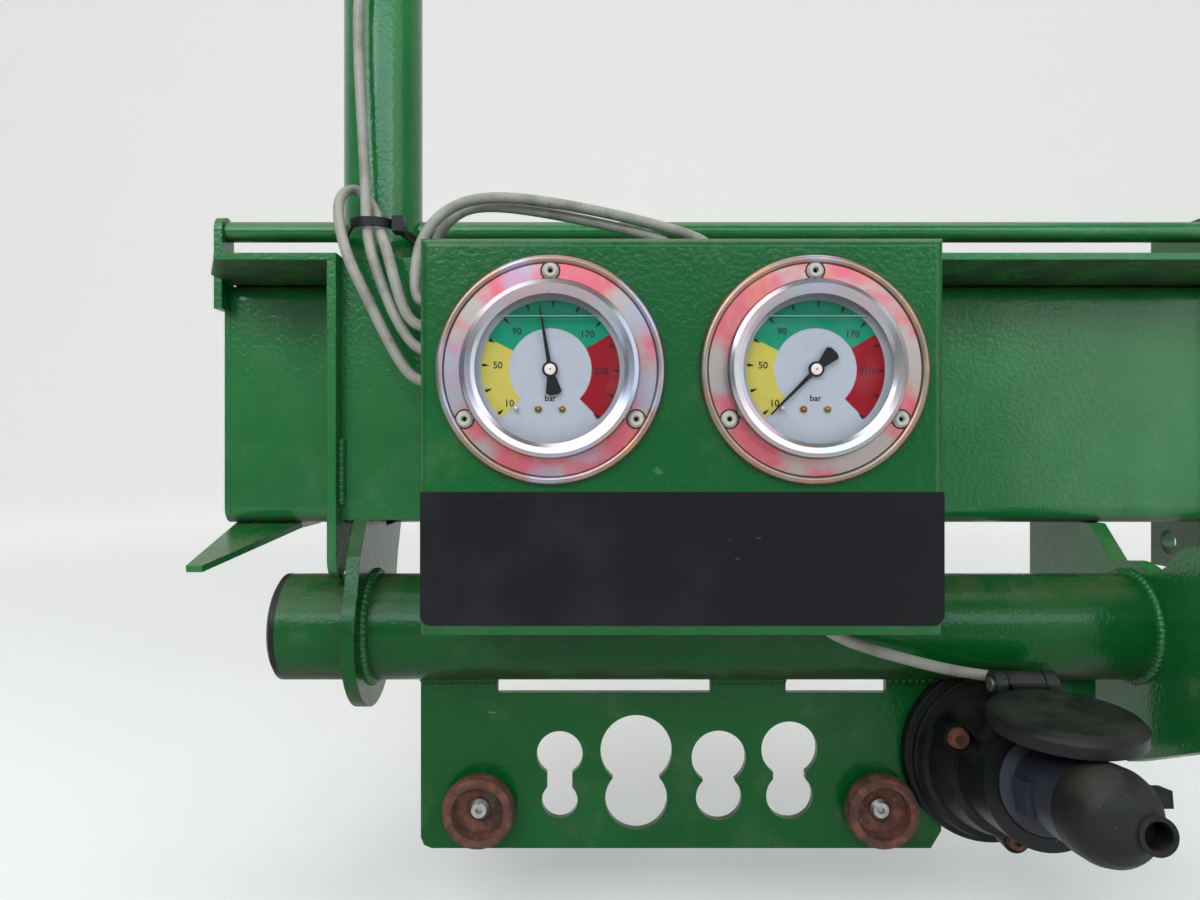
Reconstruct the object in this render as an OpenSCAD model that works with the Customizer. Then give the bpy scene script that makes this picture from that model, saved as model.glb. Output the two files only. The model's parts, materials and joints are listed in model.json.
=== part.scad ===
// Gauge and coupling station of a bale wrapper's front frame, in millimetres.
// The origin is the centre of the cross beam's rear face.
// +X runs along the beam, +Y is the side the beam bolts against, +Z is up.

/* [Beam] */
// Length of the cross beam section
beam_l = 499; // [470:1:530]
// Height of the cross beam
beam_h = 120; // [116:1:126]
// Depth of the cross beam, front to back
beam_d = 60; // [50:1:70]
// Wall of the cross beam
beam_wall = 4; // [3:0.5:6]
// Outer corner radius of the cross beam
beam_r = 8; // [7:0.5:14]

/* [Top plate] */
// Thickness of the plate on top of the beam
top_t = 3; // [2:0.5:5]
// How far the top plate stands out in front of the beam
top_over = 55; // [50:1:70]
// How far the left front corner of the top plate is cut back
top_cut = 16; // [4:1:30]

/* [Web] */
// Thickness of the gusset under the top plate
gusset_t = 4; // [3:0.5:6]
// Distance of the gusset from the beam's left end
gusset_in = 65.5; // [60:0.5:70]
// How far the gusset hangs below the beam
gusset_drop = 21; // [10:1:24]
// Thickness of the closure plate behind the gauge box
closure_t = 4; // [3:0.5:6]
// How far the closure plate is set back from the top plate's front edge
closure_set = 8; // [4:1:12]
// Length of the closure plate from the gusset
closure_l = 265; // [255:1:290]
// Length of the folded ear under the beam's left end
ear_l = 33; // [20:1:45]
// Slope of the folded ear, downwards to its tip
ear_slope = 13; // [0:1:20]

/* [Cross tube] */
// Outer diameter of the cross tube
tube_d = 48.3; // [42:0.1:52]
// Wall of the cross tube
tube_wall = 4; // [3:0.5:6]
// Length of the cross tube
tube_l = 387.5; // [380:0.5:395]
// Distance of the tube's axis below the beam's middle
tube_drop = 104.8; // [103:0.1:107]
// Distance of the tube's axis in front of the beam's rear face
tube_out = 92; // [90:0.5:93]
// Distance of the tube's right end from the beam's right end
tube_in = 69; // [64:0.5:74]
// Rim of the black cap in the tube's left end
cap_rim = 4; // [2:0.5:6]
// How far the cap reaches into the tube
cap_depth = 14; // [10:1:20]
// Thickness of the lug that hangs the tube from the beam
lug_t = 6; // [4:0.5:8]
// Radius of the lug round the tube
lug_r = 36; // [32:0.5:38]
// Gap between the gusset and the lug
lug_gap = 5.5; // [3:0.5:10]
// Thickness of the drawbar cheek
cheek_t = 8; // [6:0.5:10]
// How far the drawbar cheek reaches in front of the tube's axis
cheek_reach = 73; // [60:1:85]
// Height of the drawbar cheek at its nose
cheek_h = 84; // [76:1:92]
// Corner radius of the cheek's nose
cheek_r = 25; // [15:1:30]

/* [End flange] */
// Thickness of the bolting flange at the right end
flange_t = 8; // [6:0.5:12]
// Depth of the bolting flange
flange_d = 78; // [75:1:90]
// How far the bolting flange hangs below the beam
flange_drop = 28; // [24:1:40]
// How far the bolting flange stands above the beam
flange_rise = 38; // [34:1:50]
// Diameter of the bolt holes
bolt_hole_d = 13; // [11:0.5:14]
// Bolt spacing, front to back
bolt_dy = 30; // [26:1:40]
// Bolt spacing, up and down
bolt_dz = 148; // [146:1:152]

/* [Guide rod and post] */
// Diameter of the guide rod
rod_d = 10; // [8:0.5:12]
// Height of the rod's axis above the top plate
rod_up = 21.9; // [20:0.1:24]
// Distance of the rod and the post in front of the beam's rear face
rod_out = 63; // [60:0.5:66]
// Thickness of the rod's left lug
rod_lug_t = 4; // [3:0.5:6]
// Depth of the rod's left lug
rod_lug_w = 14; // [12:1:30]
// Diameter of the post
post_d = 38; // [34:0.5:42]
// Wall of the post
post_wall = 3; // [2:0.5:5]
// Height of the post above the top plate
post_h = 162; // [150:1:180]
// Distance of the post's axis from the gauge box's left side
post_off = 40.4; // [38:0.1:44]

/* [Gauge box] */
// Width of the gauge box
box_w = 195.3; // [190:0.1:200]
// Height of the gauge box
box_h = 147.8; // [146:0.1:152]
// Depth of the gauge box, from the closure plate to its face
box_d = 65.5; // [60:0.5:75]
// Sheet thickness of the gauge box
box_t = 2.5; // [2:0.1:3]
// Radius of the folded edges of the gauge box
box_r = 3.5; // [3.5:0.1:6]
// Gap between the gauge box and the underside of the top plate
box_gap = 4.2; // [2:0.1:6]
// Distance of the box's middle from the beam's middle, to the left
box_off = 34; // [31:0.5:37]
// Depth of the flange along the box's lower edge
box_lip = 20; // [14:1:24]
// Width of the rear flanges of the gauge box
box_ear = 12; // [10:0.5:16]
// Height of the black strip on the gauge box
strip_h = 49.6; // [40:0.1:52]
// Distance of the strip above the box's lower edge
strip_up = 3.5; // [2:0.1:6]
// Thickness of the strip
strip_t = 0.3; // [0.2:0.05:0.6]

/* [Gauges] */
// Distance between the two gauges
gauge_gap = 97.6; // [92:0.1:100]
// Distance of the gauges' middle below the top of the box
gauge_drop = 49.5; // [46:0.5:52]
// Diameter of the gauge case
case_d = 63; // [60:0.5:66]
// Depth of the gauge case behind the panel
case_depth = 30; // [24:1:34]
// Wall of the gauge case
case_wall = 1.2; // [1:0.1:2]
// Clearance of the case in its hole
case_clear = 0.6; // [0.3:0.1:1]
// Width of the gauge flange round the case
gflange_w = 11; // [10:0.5:13]
// Thickness of the gauge flange
gflange_t = 2.2; // [1.5:0.1:3]
// Diameter of the window's opening
window_d = 54.6; // [50:0.2:56]
// Thickness of the window
window_t = 1.4; // [1:0.1:2]
// Height of the bezel above the flange
bezel_h = 6.4; // [5.5:0.1:8]
// Wall of the bezel
bezel_t = 1.5; // [1:0.1:2]
// Radius of the flange's rolled edge
roll_r = 1.3; // [0.8:0.1:1.4]
// Diameter of the rivet heads
rivet_d = 6.4; // [5:0.2:6.6]
// Length of the pointer from its axis to its tip
pointer_l = 23.5; // [18:0.5:25]
// Thickness of the pointer
pointer_t = 0.6; // [0.4:0.1:1]
// Angle at which the left pointer rests, clockwise from straight up
left_rest = -9.4; // [-130:0.2:130]
// Angle at which the right pointer rests, clockwise from straight up
right_rest = -135; // [-135:0.2:-120]

/* [Coupling rack] */
// Thickness of the rack plate
rack_t = 4; // [3:0.5:6]
// Distance of the rack's left edge from the beam's middle
rack_left = 147.2; // [144:0.2:150]
// Distance of the rack's right edge from the beam's middle
rack_right = 93; // [90:0.5:96]
// Height of the rack plate without its tabs
rack_h = 71.8; // [70:0.2:78]
// Gap between the rack plate and the tube's underside
rack_gap = 6.3; // [4:0.1:10]
// Outer diameter of the cups
cup_d = 33; // [28:0.5:36]
// How far a cup stands out from the rack
cup_h = 12; // [8:0.5:15]
// Distance of the cups' middle above the rack's lower edge
cup_up = 20.1; // [18:0.1:24]
// Thickness of a cup's floor
cup_floor = 3; // [2:0.5:4]
// Diameter of the rivet through a cup's floor
cup_rivet_d = 6; // [5:0.5:8]

/* [Socket] */
// Distance of the socket's axis from the beam's middle
sock_x = 114.5; // [113:0.5:118]
// Distance of the socket's axis below the tube's axis
sock_drop = 56.8; // [55:0.1:60]
// Outer diameter of the rubber boot
boot_d = 80.8; // [78:0.2:84]
// Thickness of the rubber boot in front of the rack
boot_t = 15; // [12:0.5:18]
// Outer diameter of the barrel
barrel_d = 52; // [50:0.5:54]
// Bore of the barrel
barrel_bore = 41; // [38:0.5:43]
// Length of the barrel in front of the boot
barrel_l = 40; // [36:0.5:44]
// Circle of the three socket screws
screw_pcd = 58; // [56:0.5:60]
// Depth of the screws' bosses on the socket's flange
boss_h = 12; // [10:0.5:13]
// Upward tip of the barrel, the lid and the plug, in degrees
sock_tip = 7; // [0:0.5:9]
// Diameter of the lid
lid_d = 56; // [50:0.5:58]
// Thickness of the lid
lid_t = 3.2; // [2.5:0.1:5]
// Slope of the open lid where it rests over the plug
lid_slope = 12; // [10:0.5:14]
// Width over the two arms that carry the lid
hinge_w = 26; // [24:1:30]
// Width of each arm
hinge_arm = 5; // [4:0.5:6]
// Diameter of the plug
plug_d = 33; // [31:0.5:34]
// Length of the plug outside the barrel
plug_l = 55; // [45:1:65]
// Length of the plug's nose inside the barrel
nose_l = 24; // [18:1:28]
// Clearance round the plug's nose
nose_clear = 0.4; // [0.3:0.05:0.8]
// Diameter of the lead that the plug takes
lead_d = 10; // [8:0.5:11]

/* [Cables] */
// Diameter of the grey cables
cable_d = 5; // [4:0.1:6]
// Width of the black cable tie
tie_w = 4; // [3:0.2:6]
// Thickness of the black cable tie
tie_t = 1.4; // [1:0.1:2]

/* [Hidden] */
$fn = 48;

green = [0.09, 0.40, 0.18];
dark_green = [0.07, 0.33, 0.15];
steel = [0.68, 0.65, 0.63];
black = [0.10, 0.10, 0.11];
brass = [0.72, 0.58, 0.30];
rust = [0.42, 0.24, 0.18];
grey = [0.60, 0.58, 0.55];

// Places that follow from the sizes
left_x = -beam_l / 2;
right_x = beam_l / 2;
top_z = beam_h / 2 + top_t;
front_y = -(beam_d + top_over);
gusset_x = left_x + gusset_in;
closure_y = front_y + closure_set;
closure_z = -(beam_h / 2 - 5.4);
tube_y = -tube_out;
tube_z = -tube_drop;
tube_r = tube_d / 2;
tube_right = right_x - tube_in;
lug_x = gusset_x + gusset_t + lug_gap;
rod_z = top_z + rod_up;
rod_y = -rod_out;
box_y = closure_y - box_d;
box_x0 = -box_off - box_w / 2;
post_x = box_x0 - post_off;
box_z1 = beam_h / 2 - box_gap;
box_z0 = box_z1 - box_h;
gauge_z = box_z1 - gauge_drop;
gauge_xs = [-box_off - gauge_gap / 2, -box_off + gauge_gap / 2];
case_rim = gflange_t + bezel_h - window_t - bezel_t;
gflange_d = case_d + 2 * gflange_w;
bezel_r = case_d / 2 + 0.05;
rivet_at = (bezel_r + bezel_t + gflange_d / 2 - 2 * roll_r) / 2;
dial_up = 2.5;
dial_t = 1;
rack_y = tube_y - rack_t / 2;
rack_z1 = tube_z - tube_r - rack_gap;
rack_z0 = rack_z1 - rack_h;
sock_z = tube_z - sock_drop;
boot_y = rack_y - boot_t;
barrel_y = boot_y - barrel_l;
boot_r = boot_d / 2;
hinge_r = 3;
hinge_y = boot_y - 22;
hinge_z = sock_z + barrel_d / 2 + 10.6;
screw_turns = [30, 150, 270];

// The right cup stands clear of the boot, the left one the same distance above the rack's edge
cup_z = rack_z0 + cup_up;
cup_reach = boot_r + cup_d / 2 + 0.3;
cup_xs = [27.6 - rack_left, sock_x - sqrt(cup_reach * cup_reach - pow(sock_z - cup_z, 2))];

// Bolts of the gauge box, by height and by side
bolt_zs = [closure_z + 12, box_z1 - 14];
bolt_xs = [box_x0 - box_ear / 2, box_x0 + box_w + box_ear / 2];

// Columns: place along X, upper radius, upper centre below the rack's top, lower radius, lower centre
keyholes = [
  [-83.1, 10.6, 28.4, 8.3, 49.8],
  [-47.8, 16.5, 26.9, 14.3, 48.9],
  [-9.7, 12.5, 30.1, 10.5, 48.4],
  [22.9, 12.9, 26.3, 10.7, 47.7]
];
// Columns: left end and right end of each tab along X
rack_tabs = [[-rack_left, -rack_left + 35.6], [-13.7, 21.2], [rack_right - 25.5, rack_right]];

// Places where cables enter: the box's left side, the top plate, the closure plate, the post and the boot
grommet_r = cable_d / 2 + 1.5;
grommet_lip = 1.5;
side_entry_y = front_y - 10;
side_entries = [for (drop = [16, 27, 38, 50]) box_z1 - drop];
top_entry_y = front_y + 21;
top_entries = [-140, -31, -14];
closure_entry = [5, closure_z + 9.6];
post_entry_z = top_z + 144;
gland_x = 18;
gland_y = boot_y - 5;
cable_fit = 0.3;

// Routes of the cables' middles, from entry to entry, each stretch measured from what it passes
function by_post(points) = [for (p = points) p + [post_x, rod_y, top_z]];
function by_edge(points) = [for (p = points) p + [post_x, front_y, top_z]];
function by_side(points) = [for (p = points) p + [box_x0, side_entry_y, box_z1]];
function over_plate(points) = [for (p = points) p + [0, front_y, top_z]];
function by_closure(points) = [for (p = points) p + [closure_entry[0], closure_y, closure_entry[1]]];
function under_tube(points) = [for (p = points) p + [sock_x, tube_y - tube_r * 0.7, tube_z - tube_r * 0.7]];
function by_gland(points) = [for (p = points) p + [sock_x + gland_x, gland_y, sock_z]];
feed_route = concat(
  by_post([[0, -15, 144], [0, -25, 144], [-7, -28, 127], [-2, -29, 55], [0.5, -34, 25]]),
  by_edge([[6, -3, 2]]),
  by_side([[-17, 0, -32], [-7, 0, -38], [2.6, 0, -38]])
);
loop_route = concat(
  by_side([[2.6, 0, -50], [-7, 0, -50], [-17, 1, -44]]),
  by_edge([[6, -6, -18], [-3, -4, 1]]),
  by_post([[-12, -36, 27], [-7, -26, 36], [2, -26, 27], [9, -43, 12]]),
  by_edge([[16, -6, -1]]),
  by_side([[-16, 0, -21], [-7, 0, -27], [2.6, 0, -27]])
);
arc_outer_route = concat(
  by_side([[2.6, 0, -16], [-7, 0, -16], [-11.5, 0, -12], [-10.5, 4, 10]]),
  over_plate([[-130, -2, 19], [-108, 5, 26], [-64, 11, 21], [-17, 20, 11], [-14, 21, 3], [-14, 21, -4]])
);
arc_inner_route = over_plate([[-140, 21, -4], [-140, 21, 4], [-139.5, 18, 10], [-127, 10, 21],
                              [-105, 11, 23], [-65, 16, 17], [-34, 20, 10], [-31, 21, 3], [-31, 21, -4]]);
socket_route = concat(
  by_closure([[0, 5, 0], [0, -7, 0], [1, -18, -8], [7, -30, -30], [19, -33, -53], [47, -29, -62]]),
  under_tube([[-36.5, -16, 6], [-18.5, -6.5, 1], [-0.5, -4, -2], [12.5, -4, -3.5]]),
  by_gland([[0, 0, 30.5], [0, 0, 19.5]])
);

// Turns a child so that its own z points out of the panel, at height y0
module face_on(x, z, y0) {
  translate([x, y0, z]) rotate([90, 0, 0]) children();
}

// Turns a child so that its own z points along +X, its x down and its y along +Y
module side_on(x, y, z) {
  translate([x, y, z]) rotate([0, 90, 0]) children();
}

// A flat outline in Y and Z, extruded along +X from x0
module yz_plate(x0, t) {
  translate([x0, 0, 0]) rotate([90, 0, 90]) linear_extrude(t) children();
}

// A flat outline in X and Y, extruded upwards from z0
module xy_plate(z0, t) {
  translate([0, 0, z0]) linear_extrude(t) children();
}

// A flat outline in X and Z, extruded towards the viewer from y0
module xz_plate(y0, t) {
  translate([0, y0, 0]) rotate([90, 0, 0]) linear_extrude(t) children();
}

module rounded_box_2d(w, h, r) {
  union() {
    square([w - 2 * r, h], center = true);
    square([w, h - 2 * r], center = true);
    for (sx = [-1, 1], sy = [-1, 1]) translate([sx * (w / 2 - r), sy * (h / 2 - r)]) circle(r);
  }
}

// Cross beam, a hollow section with rounded corners
module beam() {
  color(green)
  translate([0, -beam_d / 2, 0]) yz_plate(left_x, beam_l) difference() {
    rounded_box_2d(beam_d, beam_h, beam_r);
    rounded_box_2d(beam_d - 2 * beam_wall, beam_h - 2 * beam_wall, beam_r - beam_wall);
  }
}

// Plate that closes the beam's left end
module beam_end_plate() {
  color(green)
  translate([0, -beam_d / 2, 0]) yz_plate(left_x - top_t, top_t)
    rounded_box_2d(beam_d, beam_h, beam_r);
}

module top_plate() {
  color(green) difference() {
    xy_plate(beam_h / 2, top_t) polygon([
      [left_x, 0],
      [right_x, 0],
      [right_x, front_y],
      [left_x + top_cut, front_y],
      [left_x, front_y + top_over * 0.6]
    ]);
    for (x = top_entries) translate([x, top_entry_y, 0]) cylinder(r = grommet_r, h = beam_h);
    // Beside the gauge box the plate stops on the closure plate's top edge
    notch_y = closure_y + closure_t / 2;
    for (x = [[gusset_x + gusset_t, box_x0 + 8], [box_x0 + box_w - 8, gusset_x + gusset_t + closure_l]])
      translate([x[0], front_y - 1, beam_h / 2 - 1]) cube([x[1] - x[0], notch_y - front_y + 1, top_t + 2]);
  }
}

// Gusset between the top plate and the beam's front, with a rounded toe
module gusset() {
  toe_r = 10;
  color(green) yz_plate(gusset_x, gusset_t) difference() {
    union() {
      polygon([
        [-beam_d, beam_h / 2],
        [front_y, beam_h / 2],
        [front_y, -beam_h / 2 - gusset_drop + toe_r],
        [front_y + 2 * toe_r, -beam_h / 2 - gusset_drop + toe_r],
        [-beam_d, -beam_h / 2 + toe_r]
      ]);
      translate([front_y + toe_r, -beam_h / 2 - gusset_drop + toe_r]) circle(toe_r);
    }
    // Room for the tube below it
    translate([tube_y, tube_z]) circle(tube_r + 4);
  }
}

// Plate that closes the front below the top plate, from the gusset past the gauge box
module closure_plate() {
  color(green) xz_plate(closure_y + closure_t, closure_t) difference() {
    translate([gusset_x + gusset_t, closure_z]) square([closure_l, beam_h / 2 - closure_z]);
    translate(closure_entry) circle(grommet_r);
  }
}

// Folded ear below the beam's left end: a flat tab under the beam, then a slope down to its tip
module folded_ear() {
  fold_y = beam_r - beam_d;
  tab = beam_d / 2;
  color(green) union() {
    translate([left_x, fold_y, -beam_h / 2 - top_t]) cube([ear_l, tab, top_t]);
    translate([0, fold_y, -beam_h / 2]) rotate([ear_slope, 0, 0]) xy_plate(-top_t, top_t) polygon([
      [left_x, 0],
      [left_x + ear_l, 0],
      [left_x + 10, -top_over - beam_r],
      [left_x + 3, -top_over - beam_r]
    ]);
  }
}

module cross_tube() {
  color(green) side_on(tube_right - tube_l, tube_y, tube_z) difference() {
    cylinder(r = tube_r, h = tube_l);
    translate([0, 0, -1]) cylinder(r = tube_r - tube_wall, h = tube_l + 2);
  }
}

// Black plug pressed into the tube's left end
module tube_cap() {
  color(black) side_on(tube_right - tube_l, tube_y, tube_z) rotate_extrude() polygon([
    [0, -cap_rim],
    [tube_r - cap_rim * 0.6, -cap_rim],
    [tube_r, -cap_rim * 0.6],
    [tube_r, 0],
    [tube_r - tube_wall, 0],
    [tube_r - tube_wall, cap_depth],
    [0, cap_depth]
  ]);
}

// Lug that hangs the tube from the beam
module tube_lug() {
  color(green) yz_plate(lug_x, lug_t) difference() {
    union() {
      translate([tube_y, tube_z]) circle(lug_r);
      polygon([
        [tube_y - lug_r, tube_z],
        [tube_y + lug_r, tube_z],
        [beam_r * 1.5 - beam_d, -beam_h / 2 - 16],
        [beam_r * 2.5 - beam_d, -beam_h / 2],
        [tube_y + 20, -beam_h / 2],
        [tube_y + 20, closure_z],
        [closure_y, closure_z],
        [tube_y - lug_r + 10, closure_z - 15]
      ]);
    }
    translate([tube_y, tube_z]) circle(tube_r);
  }
}

// Cheek plate of the drawbar, to which the tube's right end is welded
module drawbar_cheek() {
  nose = tube_y - cheek_reach;
  half = cheek_h / 2;
  low = tube_z - cheek_h * 0.75;
  color(green) yz_plate(tube_right, cheek_t) union() {
    polygon([
      [0, -beam_h / 2],
      [-beam_d, -beam_h / 2],
      [tube_y, tube_z + cheek_h * 0.2],
      [nose + cheek_r, tube_z + half],
      [nose, tube_z + half - cheek_r],
      [nose, tube_z - half + cheek_r],
      [nose + cheek_r, tube_z - half],
      [tube_y, low],
      [0, low]
    ]);
    for (s = [-1, 1]) translate([nose + cheek_r, tube_z + s * (half - cheek_r)]) circle(cheek_r);
    translate([tube_y, tube_z]) circle(tube_r + 6);
  }
}

// Bolting flange across the right end of the beam, the rod and the top plate
module end_flange() {
  z0 = -beam_h / 2 - flange_drop;
  z1 = beam_h / 2 + flange_rise;
  color(green) difference() {
    translate([right_x, -flange_d, z0]) cube([flange_t, flange_d, z1 - z0]);
    for (sy = [-1, 1], sz = [-1, 1])
      side_on(right_x - 1, -beam_d / 2 + sy * bolt_dy / 2, sz * bolt_dz / 2)
        cylinder(d = bolt_hole_d, h = flange_t + 2);
  }
}

// Guide rod above the top plate, through the post, from its lug to the bolting flange
module rod() {
  color(green) side_on(left_x, rod_y, rod_z) cylinder(d = rod_d, h = beam_l);
}

module rod_lug() {
  z0 = beam_h / 2 - 14;
  color(green) yz_plate(left_x - rod_lug_t, rod_lug_t) difference() {
    union() {
      translate([rod_y, rod_z]) circle(d = rod_lug_w);
      translate([rod_y - rod_lug_w / 2, z0]) square([rod_lug_w, rod_z - z0]);
    }
    translate([-beam_d / 2, 0]) rounded_box_2d(beam_d, beam_h, beam_r);
  }
}

module post() {
  color(green) difference() {
    translate([post_x, rod_y, top_z]) cylinder(d = post_d, h = post_h);
    translate([post_x, rod_y, top_z + 4]) cylinder(d = post_d - 2 * post_wall, h = post_h);
    side_on(left_x, rod_y, rod_z) cylinder(d = rod_d, h = beam_l);
    face_on(post_x, post_entry_z, rod_y) cylinder(r = grommet_r, h = post_d);
  }
}

module post_cap() {
  color(black) translate([post_x, rod_y, top_z + post_h]) rotate_extrude() polygon([
    [0, -12],
    [post_d / 2 - post_wall, -12],
    [post_d / 2 - post_wall, 0],
    [post_d / 2, 0],
    [post_d / 2, 2],
    [post_d / 2 - 2, 4],
    [0, 4]
  ]);
}

// Outline of the box's folded sheet seen from above, from rear flange to rear flange
module box_section_2d() {
  depth = box_d;
  difference() {
    union() {
      translate([0, box_r]) square([box_w, depth - box_r]);
      translate([box_r, 0]) square([box_w - 2 * box_r, depth]);
      for (sx = [box_r, box_w - box_r]) translate([sx, box_r]) circle(box_r);
    }
    translate([box_t, box_r]) square([box_w - 2 * box_t, depth]);
    translate([box_r, box_t]) square([box_w - 2 * box_r, depth]);
    for (sx = [box_r, box_w - box_r]) translate([sx, box_r]) circle(box_r - box_t);
  }
}

// Folded box that carries the gauges: face, sides, top, lower lip and rear flanges
module gauge_box() {
  side_low = closure_z;
  relief = 4;
  color(green) difference() {
    union() {
      translate([box_x0, box_y, box_z0]) linear_extrude(box_h) box_section_2d();
      // Top sheet, folded at the front
      translate([box_x0 + box_t, box_y + box_t, box_z1 - box_t])
        cube([box_w - 2 * box_t, box_d - box_t, box_t]);
      // Lip along the lower edge, with its corners cut
      xy_plate(box_z0, box_t) polygon([
        [box_x0 + box_t, box_y + box_t],
        [box_x0 + box_w - box_t, box_y + box_t],
        [box_x0 + box_w - 14, box_y + box_lip],
        [box_x0 + 14, box_y + box_lip]
      ]);
      // Rear flanges against the closure plate
      for (x = [box_x0 - box_ear, box_x0 + box_w - box_t])
        translate([x, closure_y - box_t, side_low])
          cube([box_ear + box_t, box_t, box_z1 - side_low - 2]);
    }
    // Front upper edge, before its fold
    translate([box_x0 - 1, box_y - 1, box_z1 - box_r])
      difference() {
        cube([box_w + 2, box_r + 1, box_r + 1]);
        translate([-1, box_r + 1, 0]) rotate([0, 90, 0]) cylinder(r = box_r, h = box_w + 4);
      }
    // Relief notches where the top's fold meets the sides' folds
    for (x = [box_x0 - 1, box_x0 + box_w - relief + 1])
      translate([x, box_y + box_r, box_z1 - relief]) cube([relief, relief * 0.6, relief + 1]);
    // Lower rear corners of the sides, cut clear of the tube
    yz_plate(box_x0 - box_ear - 1, box_w + 2 * box_ear + 2) polygon([
      [closure_y + 1, side_low],
      [closure_y - box_t, side_low],
      [box_y + box_lip + 4, box_z0 + 12],
      [box_y + box_lip + 4, box_z0 - 1],
      [closure_y + 1, box_z0 - 1]
    ]);
    for (x = gauge_xs) face_on(x, gauge_z, box_y + box_t + 1)
      cylinder(d = case_d + 2 * case_clear, h = box_t + 2);
    for (x = bolt_xs, z = bolt_zs) face_on(x, z, closure_y + 1) cylinder(d = 6, h = box_t + 2);
    for (z = side_entries) side_on(box_x0 - 1, side_entry_y, z) cylinder(r = grommet_r, h = box_t + 2);
  }
}

// Hexagon bolts that hold the box's rear flanges
module box_bolts() {
  color(steel) for (x = bolt_xs, z = bolt_zs)
    face_on(x, z, closure_y) union() {
      cylinder(d = 6, h = box_t);
      translate([0, 0, box_t]) cylinder(d = 10.5, h = 1);
      translate([0, 0, box_t + 1]) cylinder(d = 10, h = 4, $fn = 6);
    }
}

// Black strip on the lower part of the gauge box
module strip() {
  r = 4;
  cut = 3;
  z0 = box_z0 + strip_up;
  x1 = box_x0 + box_w;
  color(black) xz_plate(box_y, strip_t) union() {
    polygon([
      [box_x0 + 0.4, z0 + r],
      [box_x0 + 0.4 + r, z0],
      [x1 - cut, z0],
      [x1 - 0.4, z0 + cut],
      [x1 - 0.4, z0 + strip_h],
      [box_x0 + 0.4, z0 + strip_h]
    ]);
    translate([box_x0 + 0.4 + r, z0 + r]) circle(r);
  }
}

// Places a child on gauge i, its z out of the panel's face
module on_gauge(i) {
  face_on(gauge_xs[i], gauge_z, box_y) children();
}

// Steel cup of a gauge, open to the front
module gauge_case(i) {
  r = case_d / 2;
  color(steel) on_gauge(i) rotate_extrude() polygon([
    [0, -case_depth],
    [r - 2, -case_depth],
    [r, -case_depth + 2],
    [r, case_rim],
    [r - case_wall, case_rim],
    [r - case_wall, -case_depth + 2 + case_wall],
    [0, -case_depth + 2 + case_wall]
  ]);
}

// Mounting flange of a gauge, with a rolled outer edge and three rivet holes
module gauge_flange(i) {
  r = gflange_d / 2;
  color(steel) on_gauge(i) difference() {
    union() {
      difference() {
        cylinder(r = r - roll_r, h = gflange_t);
        translate([0, 0, -1]) cylinder(d = case_d + case_clear, h = gflange_t + 2);
      }
      rotate_extrude() difference() {
        translate([r - roll_r, gflange_t - roll_r + 0.8]) circle(roll_r, $fn = 24);
        translate([0, -roll_r * 2]) square([r + roll_r, roll_r * 2]);
      }
    }
    rivet_places() translate([0, 0, -1]) cylinder(d = 3.2, h = gflange_t + 2);
  }
}

module rivet_places() {
  for (a = [90, 210, 330]) rotate([0, 0, a]) translate([rivet_at, 0, 0]) children();
}

// Blind rivets of a gauge flange, with their hollow heads
module rivets(i) {
  color(steel) on_gauge(i) rivet_places() translate([0, 0, gflange_t]) rotate_extrude() polygon([
    [0.9, -1],
    [1.6, -1],
    [1.6, 0],
    [rivet_d / 2, 0],
    [rivet_d / 2 - 0.5, 0.9],
    [2.2, 1.5],
    [1.4, 1.5],
    [0.9, 0.6]
  ]);
}

// Bezel ring round the window
module bezel(i) {
  r0 = bezel_r;
  r1 = bezel_r + bezel_t;
  h = gflange_t + bezel_h;
  color(steel) on_gauge(i) rotate_extrude() polygon([
    [r0, gflange_t],
    [r1, gflange_t],
    [r1, h - 2.2],
    [r1 - 0.7, h - 0.7],
    [r1 - 2.2, h],
    [window_d / 2 + 1.5, h - 0.6],
    [window_d / 2, h - bezel_t + 0.2],
    [window_d / 2, h - bezel_t],
    [r0, h - bezel_t]
  ]);
}

// Dial plate, with the bushing that carries the pointer
module dial(i) {
  color([0.75, 0.76, 0.80]) on_gauge(i) translate([0, 0, dial_up - dial_t])
    cylinder(d = case_d - 2 * case_wall - 0.2, h = dial_t);
}

module window(i) {
  color([0.8, 0.85, 0.9, 0.3]) on_gauge(i) translate([0, 0, case_rim])
    cylinder(d = case_d - 0.4, h = window_t);
}

// Pointer with its hub and a fan-shaped counterweight, turned clockwise from straight up
module pointer(i, angle) {
  z = dial_up + 1.2;
  tail = 9.5;
  color(black) on_gauge(i) rotate([0, 0, -angle]) union() {
    translate([0, 0, dial_up + 0.3]) cylinder(r = 1.2, h = 1.2);
    translate([0, 0, z]) cylinder(r = 2.9, h = pointer_t);
    translate([0, 0, z]) linear_extrude(pointer_t) polygon([
      [-0.9, 0],
      [-0.25, pointer_l],
      [0.25, pointer_l],
      [0.9, 0],
      [3, -tail + 1],
      [1.6, -tail],
      [-1.6, -tail],
      [-3, -tail + 1]
    ]);
  }
}

// Brass pressure union at the back of a gauge
module gauge_union(i) {
  color(brass) on_gauge(i) rotate([180, 0, 0]) translate([0, 0, case_depth]) difference() {
    union() {
      cylinder(d = 16, h = 1.5);
      cylinder(d = 16, h = 8, $fn = 6);
      cylinder(d = 11, h = 17);
    }
    translate([0, 0, 9]) cylinder(d = 5, h = 9);
  }
}

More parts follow.
